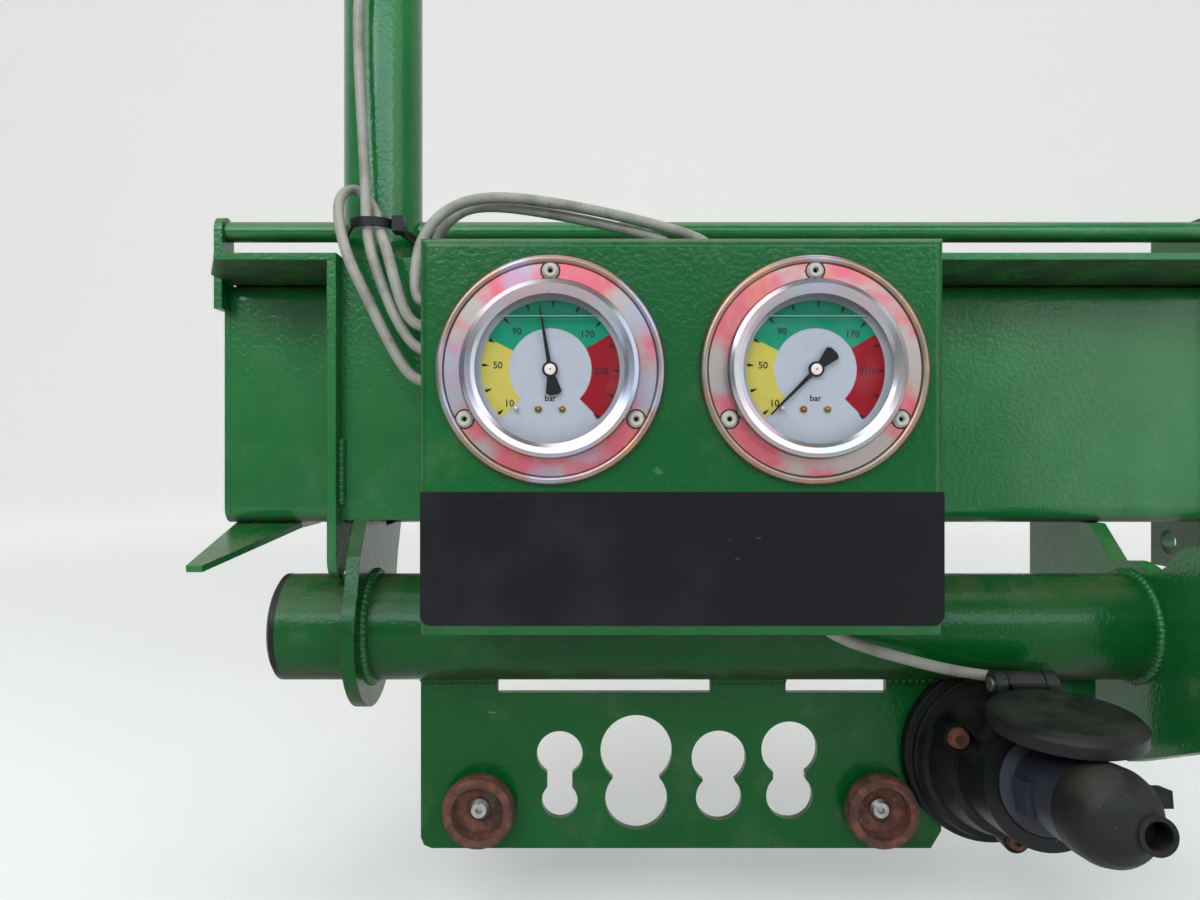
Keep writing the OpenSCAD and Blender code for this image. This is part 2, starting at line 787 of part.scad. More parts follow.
// Rack plate with keyholes for hose couplings, hung from the tube by three tabs
module rack_plate() {
  r = 5;
  cut = 8;
  tab_h = rack_gap + tube_r / 2;
  color(dark_green) difference() {
    union() {
      xz_plate(rack_y + rack_t, rack_t) polygon([
        [-rack_left, rack_z1],
        [-rack_left, rack_z0 + r],
        [-rack_left + r * 0.3, rack_z0 + r * 0.3],
        [-rack_left + r, rack_z0],
        [rack_right - cut * 0.6, rack_z0],
        [rack_right, rack_z0 + cut],
        [rack_right, rack_z1]
      ]);
      for (tab = rack_tabs)
        translate([tab[0], rack_y, rack_z1 - 1]) cube([tab[1] - tab[0], rack_t, tab_h + 1]);
    }
    for (k = keyholes) {
      wide = k[3] * 1.4;
      face_on(k[0], rack_z1 - k[2], rack_y + rack_t + 1) cylinder(r = k[1], h = rack_t + 2);
      face_on(k[0], rack_z1 - k[4], rack_y + rack_t + 1) cylinder(r = k[3], h = rack_t + 2);
      translate([k[0] - wide / 2, rack_y - 1, rack_z1 - k[4]]) cube([wide, rack_t + 2, k[4] - k[2]]);
    }
    for (x = cup_xs) face_on(x, cup_z, rack_y + rack_t + 1) cylinder(d = cup_rivet_d, h = rack_t + 2);
    // Slot for the socket's left screw, open to the rack's edge
    face_on(sock_x, sock_z, rack_y + rack_t + 1) screw_places() cylinder(d = 5.2, h = rack_t + 2);
    translate([sock_x - screw_pcd / 2 * cos(30), rack_y - 1, sock_z + screw_pcd / 4 - 2.4])
      cube([screw_pcd / 2, rack_t + 2, 4.8]);
    side_on(tube_right - tube_l, tube_y, tube_z) cylinder(r = tube_r, h = tube_l);
  }
}

// Round steel cups on the rack, open to the front
module cups() {
  r = cup_d / 2;
  color(rust) for (x = cup_xs) face_on(x, cup_z, rack_y) rotate_extrude() polygon([
    [cup_rivet_d / 2, 0],
    [r - 3, 0],
    [r - 0.6, cup_floor],
    [r, 7],
    [r - 0.8, cup_h - 1],
    [r - 2.4, cup_h],
    [r - 4.6, cup_h - 0.8],
    [r - 5.6, 4],
    [7, cup_floor],
    [cup_rivet_d / 2, cup_floor]
  ]);
}

// Rivets that hold the cups
module cup_rivets() {
  r = cup_rivet_d / 2;
  head = cup_floor + cup_rivet_d * 0.65;
  color(steel) for (x = cup_xs) face_on(x, cup_z, rack_y) rotate_extrude() polygon([
    [0, -rack_t],
    [r, -rack_t],
    [r, cup_floor],
    [r * 1.65, cup_floor],
    [r * 1.65, head - r * 0.5],
    [r * 1.15, head],
    [r * 0.5, head],
    [r * 0.4, head - r * 0.45],
    [0, head - r * 0.45]
  ]);
}

// Plate behind the rack that carries the socket, with its tab up to the tube
module socket_plate() {
  pad_r = boot_r - 2.4;
  tab_x = sock_x + pad_r - 2.5;
  tab_w = 16.5;
  color(dark_green) difference() {
    xz_plate(rack_y + 2 * rack_t, rack_t) difference() {
      union() {
        translate([sock_x, sock_z]) circle(pad_r);
        translate([tab_x, sock_z]) square([tab_w, tube_z - sock_z]);
        translate([sock_x, sock_z]) square([tab_x - sock_x + tab_w, pad_r * 0.58]);
      }
      translate([sock_x, sock_z]) circle(20);
      translate([sock_x, sock_z]) screw_places() circle(d = 5.2);
    }
    side_on(tube_right - tube_l, tube_y, tube_z) cylinder(r = tube_r, h = tube_l);
  }
}

// The three screw places round the socket's axis
module screw_places() {
  for (a = screw_turns) rotate([0, 0, a]) translate([screw_pcd / 2, 0]) children();
}

// Rubber boot between the rack and the socket, moulded round the rack's edge
module socket_boot() {
  depth = boot_t + rack_t;
  color(black) difference() {
    face_on(sock_x, sock_z, rack_y + rack_t) difference() {
      rotate_extrude() polygon([
        [20, 0],
        [boot_r - 3, 0],
        [boot_r, rack_t],
        [boot_r, depth - 9.5],
        [boot_r - 0.8, depth - 8.7],
        [boot_r - 2.6, depth - 8.7],
        [boot_r - 3, depth - 8.3],
        [boot_r - 3, depth - 5.6],
        [boot_r - 3.8, depth - 4.6],
        [boot_r - 5, depth],
        [20, depth]
      ]);
      screw_places() translate([0, 0, -1]) cylinder(d = 5.2, h = depth + 2);
    }
    translate([sock_x - boot_r - 1, rack_y, sock_z - boot_r - 1])
      cube([rack_right - sock_x + boot_r + 1, rack_t + 1, 2 * boot_r + 2]);
    // Room for the tube above it
    side_on(tube_right - tube_l, tube_y, tube_z) cylinder(r = tube_r + 0.3, h = tube_l);
  }
}

// Tips a child up about the middle of the socket's seat on the boot
module tipped() {
  translate([0, boot_y, sock_z]) rotate([-sock_tip, 0, 0]) translate([0, -boot_y, -sock_z]) children();
}

// Socket housing: conical flange with three screw bosses, the barrel and the hinge's two arms
module socket_body() {
  arm_z = sock_z + barrel_d / 2 - 5;
  color(black) difference() {
    union() {
      face_on(sock_x, sock_z, boot_y) union() {
        cylinder(r1 = barrel_d / 2 + 7, r2 = barrel_d / 2 + 2.5, h = boss_h + 2);
        screw_places() cylinder(d = 12, h = boss_h + 0.8);
      }
      // Gland of the cable on the flange
      translate([sock_x + gland_x, gland_y, sock_z + 10]) cylinder(r = cable_d / 2 + 2, h = 20);
      tipped() union() {
        face_on(sock_x, sock_z, boot_y - 5) cylinder(d = barrel_d, h = barrel_l - 5);
        for (x = [sock_x - hinge_w / 2, sock_x + hinge_w / 2 - hinge_arm]) yz_plate(x, hinge_arm) union() {
          translate([hinge_y, hinge_z]) circle(hinge_r + 2.6);
          translate([hinge_y - hinge_r - 2.6, arm_z]) square([2 * hinge_r + 5.2, hinge_z - arm_z]);
        }
      }
    }
    translate([sock_x + gland_x, gland_y, sock_z + 18]) cylinder(d = cable_d + 2 * cable_fit, h = 20);
    tipped() union() {
      face_on(sock_x, sock_z, boot_y - 8) cylinder(d = barrel_bore, h = barrel_l);
      side_on(sock_x - hinge_w, hinge_y, hinge_z) cylinder(r = hinge_r, h = 2 * hinge_w);
    }
    face_on(sock_x, sock_z, boot_y + 1) screw_places() cylinder(d = 5.2, h = boss_h + 2);
    // Pockets along the barrel, in front of the screws' heads
    face_on(sock_x, sock_z, boot_y - boss_h) screw_places() cylinder(d = 10.4, h = 17);
  }
}

// Round-head screws with a hexagon socket, through the bosses, the boot and the plate
module socket_screws() {
  shank = boot_t + 2 * rack_t + boss_h;
  color(rust) face_on(sock_x, sock_z, rack_y + 2 * rack_t) screw_places() difference() {
    union() {
      cylinder(d = 5, h = shank);
      translate([0, 0, shank]) cylinder(d1 = 9.4, d2 = 8, h = 3);
    }
    translate([0, 0, shank + 1.2]) cylinder(d = 4.4, h = 2, $fn = 6);
  }
}

module lid_pin() {
  color(steel) tipped() side_on(sock_x - hinge_w / 2 - 1, hinge_y, hinge_z)
    cylinder(r = hinge_r - 0.02, h = hinge_w + 2);
}

// Sprung lid, open over the plug: a shallow dome with a round hollow in it, a rim and its hinge knuckle
module socket_lid() {
  r = lid_d / 2;
  reach = r + 6.5;
  knuckle = hinge_w - 2 * hinge_arm - 0.8;
  color(black) tipped() translate([sock_x, hinge_y, hinge_z]) rotate([lid_slope, 0, 0]) difference() {
    union() {
      translate([0, -reach, -lid_t]) rotate_extrude() polygon([
        [0, 0],
        [r - 2.2, 0],
        [r - 2.2, -2],
        [r, -2],
        [r, lid_t - 0.6],
        [r - 1.2, lid_t + 0.6],
        [r * 0.82, lid_t + 2],
        [r * 0.56, lid_t + 2.8],
        [r * 0.48, lid_t + 2.2],
        [r * 0.2, lid_t + 1.7],
        [r * 0.14, lid_t + 2.1],
        [0, lid_t + 2.1]
      ]);
      side_on(-knuckle / 2, 0, 0) cylinder(r = hinge_r + 2.4, h = knuckle);
      translate([-knuckle / 2, -8, -3]) cube([knuckle, 8, 5]);
    }
    side_on(-hinge_w, 0, 0) cylinder(r = hinge_r + 0.05, h = 2 * hinge_w);
  }
}

// Plug: its nose in the barrel, a collar and a grip rib on its left side
module plug_body() {
  r = plug_d / 2;
  color(black) tipped() face_on(sock_x, sock_z, barrel_y) union() {
    rotate_extrude() polygon([
      [0, -nose_l],
      [barrel_bore / 2 - nose_clear - 1, -nose_l],
      [barrel_bore / 2 - nose_clear, -nose_l + 1],
      [barrel_bore / 2 - nose_clear, 0.5],
      [r - 1, 2],
      [r - 1, plug_l * 0.36],
      [r, plug_l * 0.38],
      [r, plug_l * 0.62],
      [0, plug_l * 0.62]
    ]);
    translate([-r - 0.6, -8, plug_l * 0.12]) cube([4, 13, 10]);
  }
}

// Boot of the plug, a dome with the ring for the lead low on its right side and a pull tab
module plug_boot() {
  z0 = plug_l * 0.62;
  r = plug_d / 2 + 1;
  end = plug_l - z0;
  lead_at = [8.5, -3];
  color(black) tipped() face_on(sock_x, sock_z, barrel_y) difference() {
    union() {
      translate([0, 0, z0]) rotate_extrude() polygon([
        [0, 0],
        [r - 0.8, 0],
        [r, 1],
        [r, end * 0.4],
        [r - 0.9, end * 0.58],
        [r - 3.2, end * 0.75],
        [r - 7, end * 0.87],
        [r - 11.5, end * 0.94],
        [0, end * 0.96]
      ]);
      translate([lead_at[0], lead_at[1], z0 + end * 0.4]) cylinder(d = lead_d + 3.4, h = end * 0.6);
      translate([r - 3, 3, z0 + 2]) cube([6.5, 6, end * 0.38]);
    }
    translate([lead_at[0], lead_at[1], z0 + end * 0.45]) cylinder(d = lead_d, h = end);
  }
}

// Smooth curve through hand-chosen points, steps rings to each stretch
function spline_point(p, i, t) =
  let (n = len(p) - 1)
  let (a = p[max(i - 1, 0)], b = p[i], c = p[min(i + 1, n)], d = p[min(i + 2, n)])
  0.5 * (2 * b + (c - a) * t + (2 * a - 5 * b + 4 * c - d) * t * t + (3 * b - a - 3 * c + d) * t * t * t);
function spline(p, steps) = [
  for (i = [0:len(p) - 2], s = [0:steps - 1]) spline_point(p, i, s / steps),
  p[len(p) - 1]
];
function unit(v) = v / norm(v);
function tangent(q, i) = unit(q[min(i + 1, len(q) - 1)] - q[max(i - 1, 0)]);
// Side vectors carried along the curve without twist
function carry(q, i, side) = let (t = tangent(q, i)) unit(side - (side * t) * t);
function sides(q, i = 0, side = [0.1, 0.2, 1]) =
  i >= len(q) ? [] : let (s = carry(q, i, side)) concat([s], sides(q, i + 1, s));

// Round tube of diameter d along the points, as one polyhedron
module swept_tube(points, d, steps, n = 8) {
  q = spline(points, steps);
  side = sides(q);
  rings = len(q);
  verts = [for (i = [0:rings - 1]) let (u = side[i], v = cross(tangent(q, i), u))
    for (k = [0:n - 1]) q[i] + d / 2 * (cos(360 * k / n) * u + sin(360 * k / n) * v)];
  skin = [for (i = [0:rings - 2], k = [0:n - 1], half = [0, 1]) let (m = (k + 1) % n)
    half == 0 ? [i * n + k, (i + 1) * n + k, (i + 1) * n + m] : [i * n + k, (i + 1) * n + m, i * n + m]];
  ends = [[for (k = [0:n - 1]) k], [for (k = [n - 1:-1:0]) (rings - 1) * n + k]];
  polyhedron(points = verts, faces = concat(skin, ends));
}

module cable(points, steps) {
  color(grey) swept_tube(points, cable_d, steps);
}

// Black tie round the post and the two cables beside it, with its square head
module cable_tie() {
  z = rod_z - rod_d / 2 - tie_w - 0.5;
  gap = 0.1;
  bundle = [post_x + 5.5, rod_y - 40.5];
  bundle_r = cable_d / 2 + 6.5;
  color(black) translate([0, 0, z]) {
    difference() {
      linear_extrude(tie_w) hull() {
        translate([post_x, rod_y]) circle(post_d / 2 + gap + tie_t);
        translate(bundle) circle(bundle_r + tie_t);
      }
      translate([0, 0, -1]) linear_extrude(tie_w + 2) hull() {
        translate([post_x, rod_y]) circle(post_d / 2 + gap);
        translate(bundle) circle(bundle_r);
      }
    }
    translate([bundle[0] + bundle_r + 0.6, bundle[1] - 6, -1.5]) cube([5, 8, tie_w + 3]);
  }
}

// Rubber ring with its flange outside a wall that is t thick, round one cable
module grommet(t) {
  rotate_extrude() polygon([
    [cable_d / 2 + cable_fit, -t - grommet_lip],
    [grommet_r + grommet_lip / 2, -t - grommet_lip],
    [grommet_r + grommet_lip / 2, -t],
    [grommet_r, -t],
    [grommet_r, 0],
    [grommet_r + grommet_lip / 2, 0],
    [grommet_r + grommet_lip / 2, grommet_lip],
    [cable_d / 2 + cable_fit, grommet_lip]
  ]);
}

module grommets() {
  color(black) {
    for (z = side_entries) side_on(box_x0, side_entry_y, z) rotate([180, 0, 0]) grommet(box_t);
    for (x = top_entries) translate([x, top_entry_y, top_z]) grommet(top_t);
    face_on(closure_entry[0], closure_entry[1], closure_y) grommet(closure_t);
    difference() {
      face_on(post_x, post_entry_z, rod_y - post_d / 2 + post_wall + 1)
        cylinder(r = grommet_r, h = post_wall + 4);
      face_on(post_x, post_entry_z, rod_y) cylinder(d = cable_d + 2 * cable_fit, h = post_d);
    }
  }
}

beam();
beam_end_plate();
top_plate();
gusset();
closure_plate();
folded_ear();
cross_tube();
tube_cap();
tube_lug();
drawbar_cheek();
end_flange();
rod();
rod_lug();
post();
post_cap();
gauge_box();
box_bolts();
strip();
gauge_case(0);  // case_left
gauge_case(1);  // case_right
gauge_flange(0);  // gauge_flange_left
gauge_flange(1);  // gauge_flange_right
bezel(0);  // bezel_left
bezel(1);  // bezel_right
dial(0);  // dial_left
dial(1);  // dial_right
pointer(0, left_rest);  // pointer_left
pointer(1, right_rest);  // pointer_right
window(0);  // window_left
window(1);  // window_right
rivets(0);  // rivets_left
rivets(1);  // rivets_right
gauge_union(0);  // union_left
gauge_union(1);  // union_right
rack_plate();
cups();
cup_rivets();
socket_plate();
socket_boot();
socket_body();
socket_screws();
lid_pin();
socket_lid();
plug_body();
plug_boot();
cable(feed_route, 1);  // cable_feed
cable(loop_route, 2);  // cable_loop
cable(arc_outer_route, 2);  // cable_arc_outer
cable(arc_inner_route, 2);  // cable_arc_inner
cable(socket_route, 1);  // cable_socket
cable_tie();
grommets();
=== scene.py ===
"""Looks of a gauge and coupling station on a bale wrapper's cross beam."""

import json
import math

import bpy
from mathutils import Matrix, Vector

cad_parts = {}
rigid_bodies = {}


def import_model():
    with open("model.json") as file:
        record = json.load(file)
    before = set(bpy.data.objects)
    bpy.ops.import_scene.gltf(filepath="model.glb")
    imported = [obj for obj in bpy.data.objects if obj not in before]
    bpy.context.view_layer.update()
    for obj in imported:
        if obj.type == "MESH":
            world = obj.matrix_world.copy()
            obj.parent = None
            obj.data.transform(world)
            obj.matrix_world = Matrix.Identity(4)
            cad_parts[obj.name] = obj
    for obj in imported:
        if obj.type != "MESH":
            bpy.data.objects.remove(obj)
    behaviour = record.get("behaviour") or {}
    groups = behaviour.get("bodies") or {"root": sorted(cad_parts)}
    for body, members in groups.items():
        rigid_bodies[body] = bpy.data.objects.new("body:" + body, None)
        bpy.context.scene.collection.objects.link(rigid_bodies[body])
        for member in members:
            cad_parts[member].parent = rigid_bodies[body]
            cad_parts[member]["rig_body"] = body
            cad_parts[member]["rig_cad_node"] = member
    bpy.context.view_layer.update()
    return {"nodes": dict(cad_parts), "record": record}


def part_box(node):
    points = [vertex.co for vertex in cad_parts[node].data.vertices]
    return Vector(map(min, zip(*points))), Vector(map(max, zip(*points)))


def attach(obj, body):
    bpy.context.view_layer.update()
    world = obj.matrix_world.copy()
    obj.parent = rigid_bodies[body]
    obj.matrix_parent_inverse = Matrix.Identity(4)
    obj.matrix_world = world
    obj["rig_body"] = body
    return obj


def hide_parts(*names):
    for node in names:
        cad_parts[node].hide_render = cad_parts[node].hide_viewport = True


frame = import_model()

MM = 0.001
BODY = "frame"

# Where things are, from the frame
TUBE_LOW, TUBE_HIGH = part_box("cross_tube")
POST_LOW, POST_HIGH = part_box("post")
RACK_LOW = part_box("rack_plate")[0]
PLATE_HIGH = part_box("top_plate")[1]
TUBE_R = (TUBE_HIGH.z - TUBE_LOW.z) / 2
TUBE_MID = (TUBE_LOW + TUBE_HIGH) / 2
POST_R = (POST_HIGH.x - POST_LOW.x) / 2
POST_MID = (POST_LOW + POST_HIGH) / 2


# ---- Finishes ----

def srgb(red, green, blue):
    """A colour as it looks on a screen, 0 to 255, as the shader wants it."""
    def linear(value):
        value /= 255
        return value / 12.92 if value <= 0.04045 else ((value + 0.055) / 1.055) ** 2.4
    return (linear(red), linear(green), linear(blue), 1.0)


BEVEL_SAMPLES = 2
COAT_ROUGHNESS = 0.08


class Finish:
    """One procedural material: a base colour with layers of dirt and wear over it, and a bump."""

    def __init__(self, name, colour, roughness, metallic=0.0, coat=0.0, specular=0.5):
        self.material = bpy.data.materials.new(name)
        self.material.use_nodes = True
        self.material.diffuse_color = colour
        self.tree = self.material.node_tree
        self.shader = self.tree.nodes["Principled BSDF"]
        self.shader.inputs["Metallic"].default_value = metallic
        self.shader.inputs["Roughness"].default_value = roughness
        self.shader.inputs["Base Color"].default_value = colour
        self.shader.inputs["Coat Weight"].default_value = coat
        self.shader.inputs["Coat Roughness"].default_value = COAT_ROUGHNESS
        self.shader.inputs["Specular IOR Level"].default_value = specular
        self.place = self.add("ShaderNodeTexCoord").outputs["Object"]
        self.geometry = self.add("ShaderNodeNewGeometry")
        self.colour = None
        self.base = colour
        self.rough = None
        self.base_rough = roughness
        self.normal = None

    def add(self, kind, **settings):
        """A new shader node with its settings."""
        node = self.tree.nodes.new(kind)
        for key, value in settings.items():
            setattr(node, key, value)
        return node

    def link(self, source, socket):
        self.tree.links.new(source, socket)

    def spots(self, size_mm, detail=3.0, stretch=(1, 1, 1), shift=0.0, rough=0.5):
        """Soft noise with features about size_mm across, longer along an axis where stretch is under 1."""
        place = self.add("ShaderNodeMapping")
        place.inputs["Scale"].default_value = stretch
        place.inputs["Location"].default_value = (shift, shift * 0.7, shift * 1.3)
        self.link(self.place, place.inputs["Vector"])
        noise = self.add("ShaderNodeTexNoise")
        noise.inputs["Scale"].default_value = 1 / (size_mm * MM)
        noise.inputs["Detail"].default_value = detail
        noise.inputs["Roughness"].default_value = rough
        self.link(place.outputs["Vector"], noise.inputs["Vector"])
        return noise.outputs["Fac"]

    def between(self, value, low, high, top=1.0, bottom=0.0):
        """The bottom value where value is under low, and the top one where it is over high."""
        node = self.add("ShaderNodeMapRange", interpolation_type="SMOOTHSTEP")
        node.inputs["From Min"].default_value = low
        node.inputs["From Max"].default_value = high
        node.inputs["To Min"].default_value = bottom
        node.inputs["To Max"].default_value = top
        self.link(value, node.inputs["Value"])
        return node.outputs["Result"]

    def math(self, operation, first, second):
        """Two values, each a number or a socket, taken together and kept between 0 and 1."""
        node = self.add("ShaderNodeMath", operation=operation, use_clamp=True)
        for value, socket in ((first, node.inputs[0]), (second, node.inputs[1])):
            if isinstance(value, (int, float)):
                socket.default_value = value
            else:
                self.link(value, socket)
        return node.outputs["Value"]

    def both(self, first, second):
        return self.math("MULTIPLY", first, second)

    def either(self, first, second):
        return self.math("MAXIMUM", first, second)

    def part_of_normal(self, axis):
        """How far a face looks along an axis, from -1 to 1."""
        node = self.add("ShaderNodeSeparateXYZ")
        self.link(self.geometry.outputs["Normal"], node.inputs["Vector"])
        return node.outputs[axis]

    def part_of_place(self, axis):
        """The place along an axis in metres."""
        node = self.add("ShaderNodeSeparateXYZ")
        self.link(self.place, node.inputs["Vector"])
        return node.outputs[axis]

    def edges(self, width_mm, low=0.02, high=0.2):
        """Where a sharp edge lies within width_mm."""
        bevel = self.add("ShaderNodeBevel", samples=BEVEL_SAMPLES)
        bevel.inputs["Radius"].default_value = width_mm * MM
        dot = self.add("ShaderNodeVectorMath", operation="DOT_PRODUCT")
        self.link(bevel.outputs["Normal"], dot.inputs[0])
        self.link(self.geometry.outputs["Normal"], dot.inputs[1])
        return self.between(dot.outputs["Value"], 1 - high, 1 - low, top=0.0, bottom=1.0)

    def over(self, colour, mask, roughness=None):
        """Lays a colour, and its roughness if it has its own, over what is there."""
        mix = self.add("ShaderNodeMix", data_type="RGBA")
        self.link(mask, mix.inputs["Factor"])
        if self.colour is None:
            mix.inputs[6].default_value = self.base
        else:
            self.link(self.colour, mix.inputs[6])
        mix.inputs[7].default_value = colour
        self.colour = mix.outputs[2]
        if roughness is not None:
            node = self.add("ShaderNodeMix", data_type="FLOAT")
            self.link(mask, node.inputs["Factor"])
            if self.rough is None:
                node.inputs[2].default_value = self.base_rough
            else:
                self.link(self.rough, node.inputs[2])
            node.inputs[3].default_value = roughness
            self.rough = node.outputs[0]

    def bump(self, height, depth_mm, strength=1.0):
        """A fine relief on top of what is there."""
        node = self.add("ShaderNodeBump")
        node.inputs["Strength"].default_value = strength
        node.inputs["Distance"].default_value = depth_mm * MM
        self.link(height, node.inputs["Height"])
        if self.normal is not None:
            self.link(self.normal, node.inputs["Normal"])
        self.normal = node.outputs["Normal"]

    def soften_edges(self, radius_mm):
        """Shades the edges as if they were rounded."""
        bevel = self.add("ShaderNodeBevel", samples=BEVEL_SAMPLES)
        bevel.inputs["Radius"].default_value = radius_mm * MM
        self.normal = bevel.outputs["Normal"]

    def done(self):
        """Joins the layers to the shader and gives the material."""
        if self.colour is not None:
            self.link(self.colour, self.shader.inputs["Base Color"])
        if self.rough is not None:
            self.link(self.rough, self.shader.inputs["Roughness"])
        if self.normal is not None:
            self.link(self.normal, self.shader.inputs["Normal"])
        return self.material


def green_paint(name, colour, light, dark, dust=0.5, shine=0.3):
    """Thick gloss machine paint: orange peel, brushed-off dust, scratches and rust at worn edges."""
    paint = Finish(name, colour, roughness=0.17, coat=0.7 * shine, specular=shine)
    paint.soften_edges(0.7)
    # Faded and darker clouds
    paint.over(light, paint.between(paint.spots(90, 3), 0.42, 0.72, top=0.55))
    paint.over(dark, paint.between(paint.spots(45, 4, shift=3.1), 0.5, 0.8, top=0.5))
    # Dust on top; darker olive-brown, in patches, on faces looking down
    up = paint.between(paint.part_of_normal("Z"), 0.35, 0.95)
    settled = paint.both(up, paint.between(paint.spots(16, 4, shift=1.7), 0.3, 0.7, top=dust))
    paint.over(srgb(112, 98, 76), settled, 0.75)
    under = paint.between(paint.part_of_normal("Z"), -0.85, -0.45, top=0.0, bottom=0.8)
    paint.over(srgb(46, 44, 26), paint.both(under, paint.between(paint.spots(20, 3, shift=6.7), 0.2, 0.55)), 0.7)
    # A thin film, runs left by rain and fine scratches
    film = paint.between(paint.spots(28, 4, shift=5.3, rough=0.7), 0.5, 0.85, top=0.12)
    paint.over(srgb(150, 150, 128), film, 0.3)
    runs = paint.between(paint.spots(5, 4, stretch=(1, 1, 0.09), shift=2.2), 0.6, 0.85, top=0.16)
    paint.over(srgb(20, 52, 28), runs)
    fine = paint.between(paint.spots(1.0, 2, stretch=(0.1, 1, 0.3), shift=4.4), 0.7, 0.76, top=0.3)
    fine_at = paint.both(fine, paint.between(paint.spots(35, 2, shift=8.8), 0.58, 0.66))
    paint.over(srgb(126, 168, 132), fine_at, 0.4)
    # Worn edges and chips, down to rusty steel
    worn = paint.both(paint.edges(0.9), paint.between(paint.spots(6, 3, shift=6.1), 0.52, 0.62))
    paint.over(srgb(74, 52, 34), worn, 0.7)
    chips = paint.between(paint.spots(7, 4, shift=9.5, rough=0.65), 0.735, 0.755)
    paint.over(srgb(96, 58, 36), chips, 0.8)
    # Orange peel, and slow waves in the sheet
    paint.bump(paint.spots(1.9, 2, shift=0.6), 0.3, 0.8)
    paint.bump(paint.spots(22, 2, shift=7.2), 0.3, 0.4)
    return paint.done()


def stainless_finish(name, colour, roughness, pink):
    """Polished thin steel with painted pink and blue reflections in patches, and fingerprints."""
    steel = Finish(name, colour, roughness, metallic=1.0)
    # Painted pink reflection, in patches
    steel.over(srgb(214, 72, 98), steel.between(steel.spots(24, 3), 0.39, 0.55, top=pink))
    # Painted blue reflection, in patches
    steel.over(srgb(158, 166, 196), steel.between(steel.spots(30, 2, shift=4.1), 0.5, 0.66, top=0.55))
    steel.over(srgb(196, 150, 96), steel.between(steel.spots(12, 3, stretch=(2, 1, 1), shift=7.7), 0.55, 0.7, top=0.3))
    steel.over(srgb(150, 140, 130), steel.between(steel.spots(7, 6, shift=3.3), 0.55, 0.78, top=0.4), 0.4)
    steel.over(srgb(104, 88, 70), steel.between(steel.spots(2.2, 5, shift=5.9), 0.68, 0.78, top=0.6), 0.6)
    steel.bump(steel.spots(6, 3, shift=1.1), 0.05, 0.4)
    return steel.done()


def zinc_finish():
    """Plated bolts and pins, dull and a little rusty."""
    zinc = Finish("zinc", srgb(168, 168, 164), roughness=0.38, metallic=1.0)
    zinc.soften_edges(0.3)
    zinc.over(srgb(120, 116, 106), zinc.between(zinc.spots(3, 5), 0.45, 0.7, top=0.7), 0.55)
    zinc.over(srgb(116, 74, 46), zinc.between(zinc.spots(4, 5, shift=2.7), 0.62, 0.72, top=0.8), 0.85)
    zinc.bump(zinc.spots(0.9, 2), 0.03, 0.4)
    return zinc.done()


def rust_finish():
    """Steel that has rusted all over, in flakes of several browns."""
    rust = Finish("rusty_steel", srgb(86, 51, 42), roughness=0.86)
    rust.soften_edges(0.5)
    rust.over(srgb(122, 74, 54), rust.between(rust.spots(5, 6), 0.45, 0.65, top=0.8))
    rust.over(srgb(58, 38, 36), rust.between(rust.spots(8, 4, shift=2.1), 0.5, 0.68, top=0.85))
    rust.over(srgb(150, 112, 92), rust.between(rust.spots(2, 6, shift=4.9), 0.62, 0.74, top=0.55), 0.7)
    rust.over(srgb(34, 70, 40), rust.between(rust.spots(10, 5, shift=7.7), 0.66, 0.7, top=0.6), 0.4)
    rust.bump(rust.spots(1.2, 6, rough=0.7), 0.35, 0.8)
    rust.bump(rust.spots(5, 3, shift=6.3), 0.4, 0.5)
    return rust.done()


def moulded_black(name, colour, roughness, dusty=0.25, grain=0.05, soft=0.5):
    """Black plastic or rubber with handling marks, dust on top and pale specks."""
    plastic = Finish(name, colour, roughness, specular=0.25)
    plastic.soften_edges(soft)
    plastic.over(srgb(40, 39, 36), plastic.between(plastic.spots(20, 5), 0.45, 0.75, top=0.45), roughness + 0.1)
    up = plastic.between(plastic.part_of_normal("Z"), 0.1, 0.9)
    dust = plastic.both(up, plastic.between(plastic.spots(14, 6, shift=2.9), 0.3, 0.75, top=dusty))
    plastic.over(srgb(84, 80, 72), dust, 0.8)
    specks = plastic.between(plastic.spots(1.6, 4, shift=5.1), 0.7, 0.76, top=0.5)
    plastic.over(srgb(140, 128, 108), specks, 0.9)
    plastic.bump(plastic.spots(0.8, 2, shift=1.3), grain, 0.5)
    return plastic.done()


def cable_finish():
    """Grey sheath, paler and rougher on faces looking up, with darker handling marks."""
    sheath = Finish("cable_grey", srgb(150, 146, 138), roughness=0.52)
    sheath.over(srgb(112, 108, 100), sheath.between(sheath.spots(14, 5), 0.45, 0.7, top=0.7))
    sheath.over(srgb(92, 84, 70), sheath.between(sheath.spots(3, 5, shift=2.3), 0.6, 0.75, top=0.6), 0.8)
    # Paler and rougher on all faces looking up, evenly
    up = sheath.between(sheath.part_of_normal("Z"), 0.3, 1.0, top=0.4)
    sheath.over(srgb(164, 152, 130), up, 0.8)
    sheath.bump(sheath.spots(1.5, 2), 0.04, 0.4)
    return sheath.done()


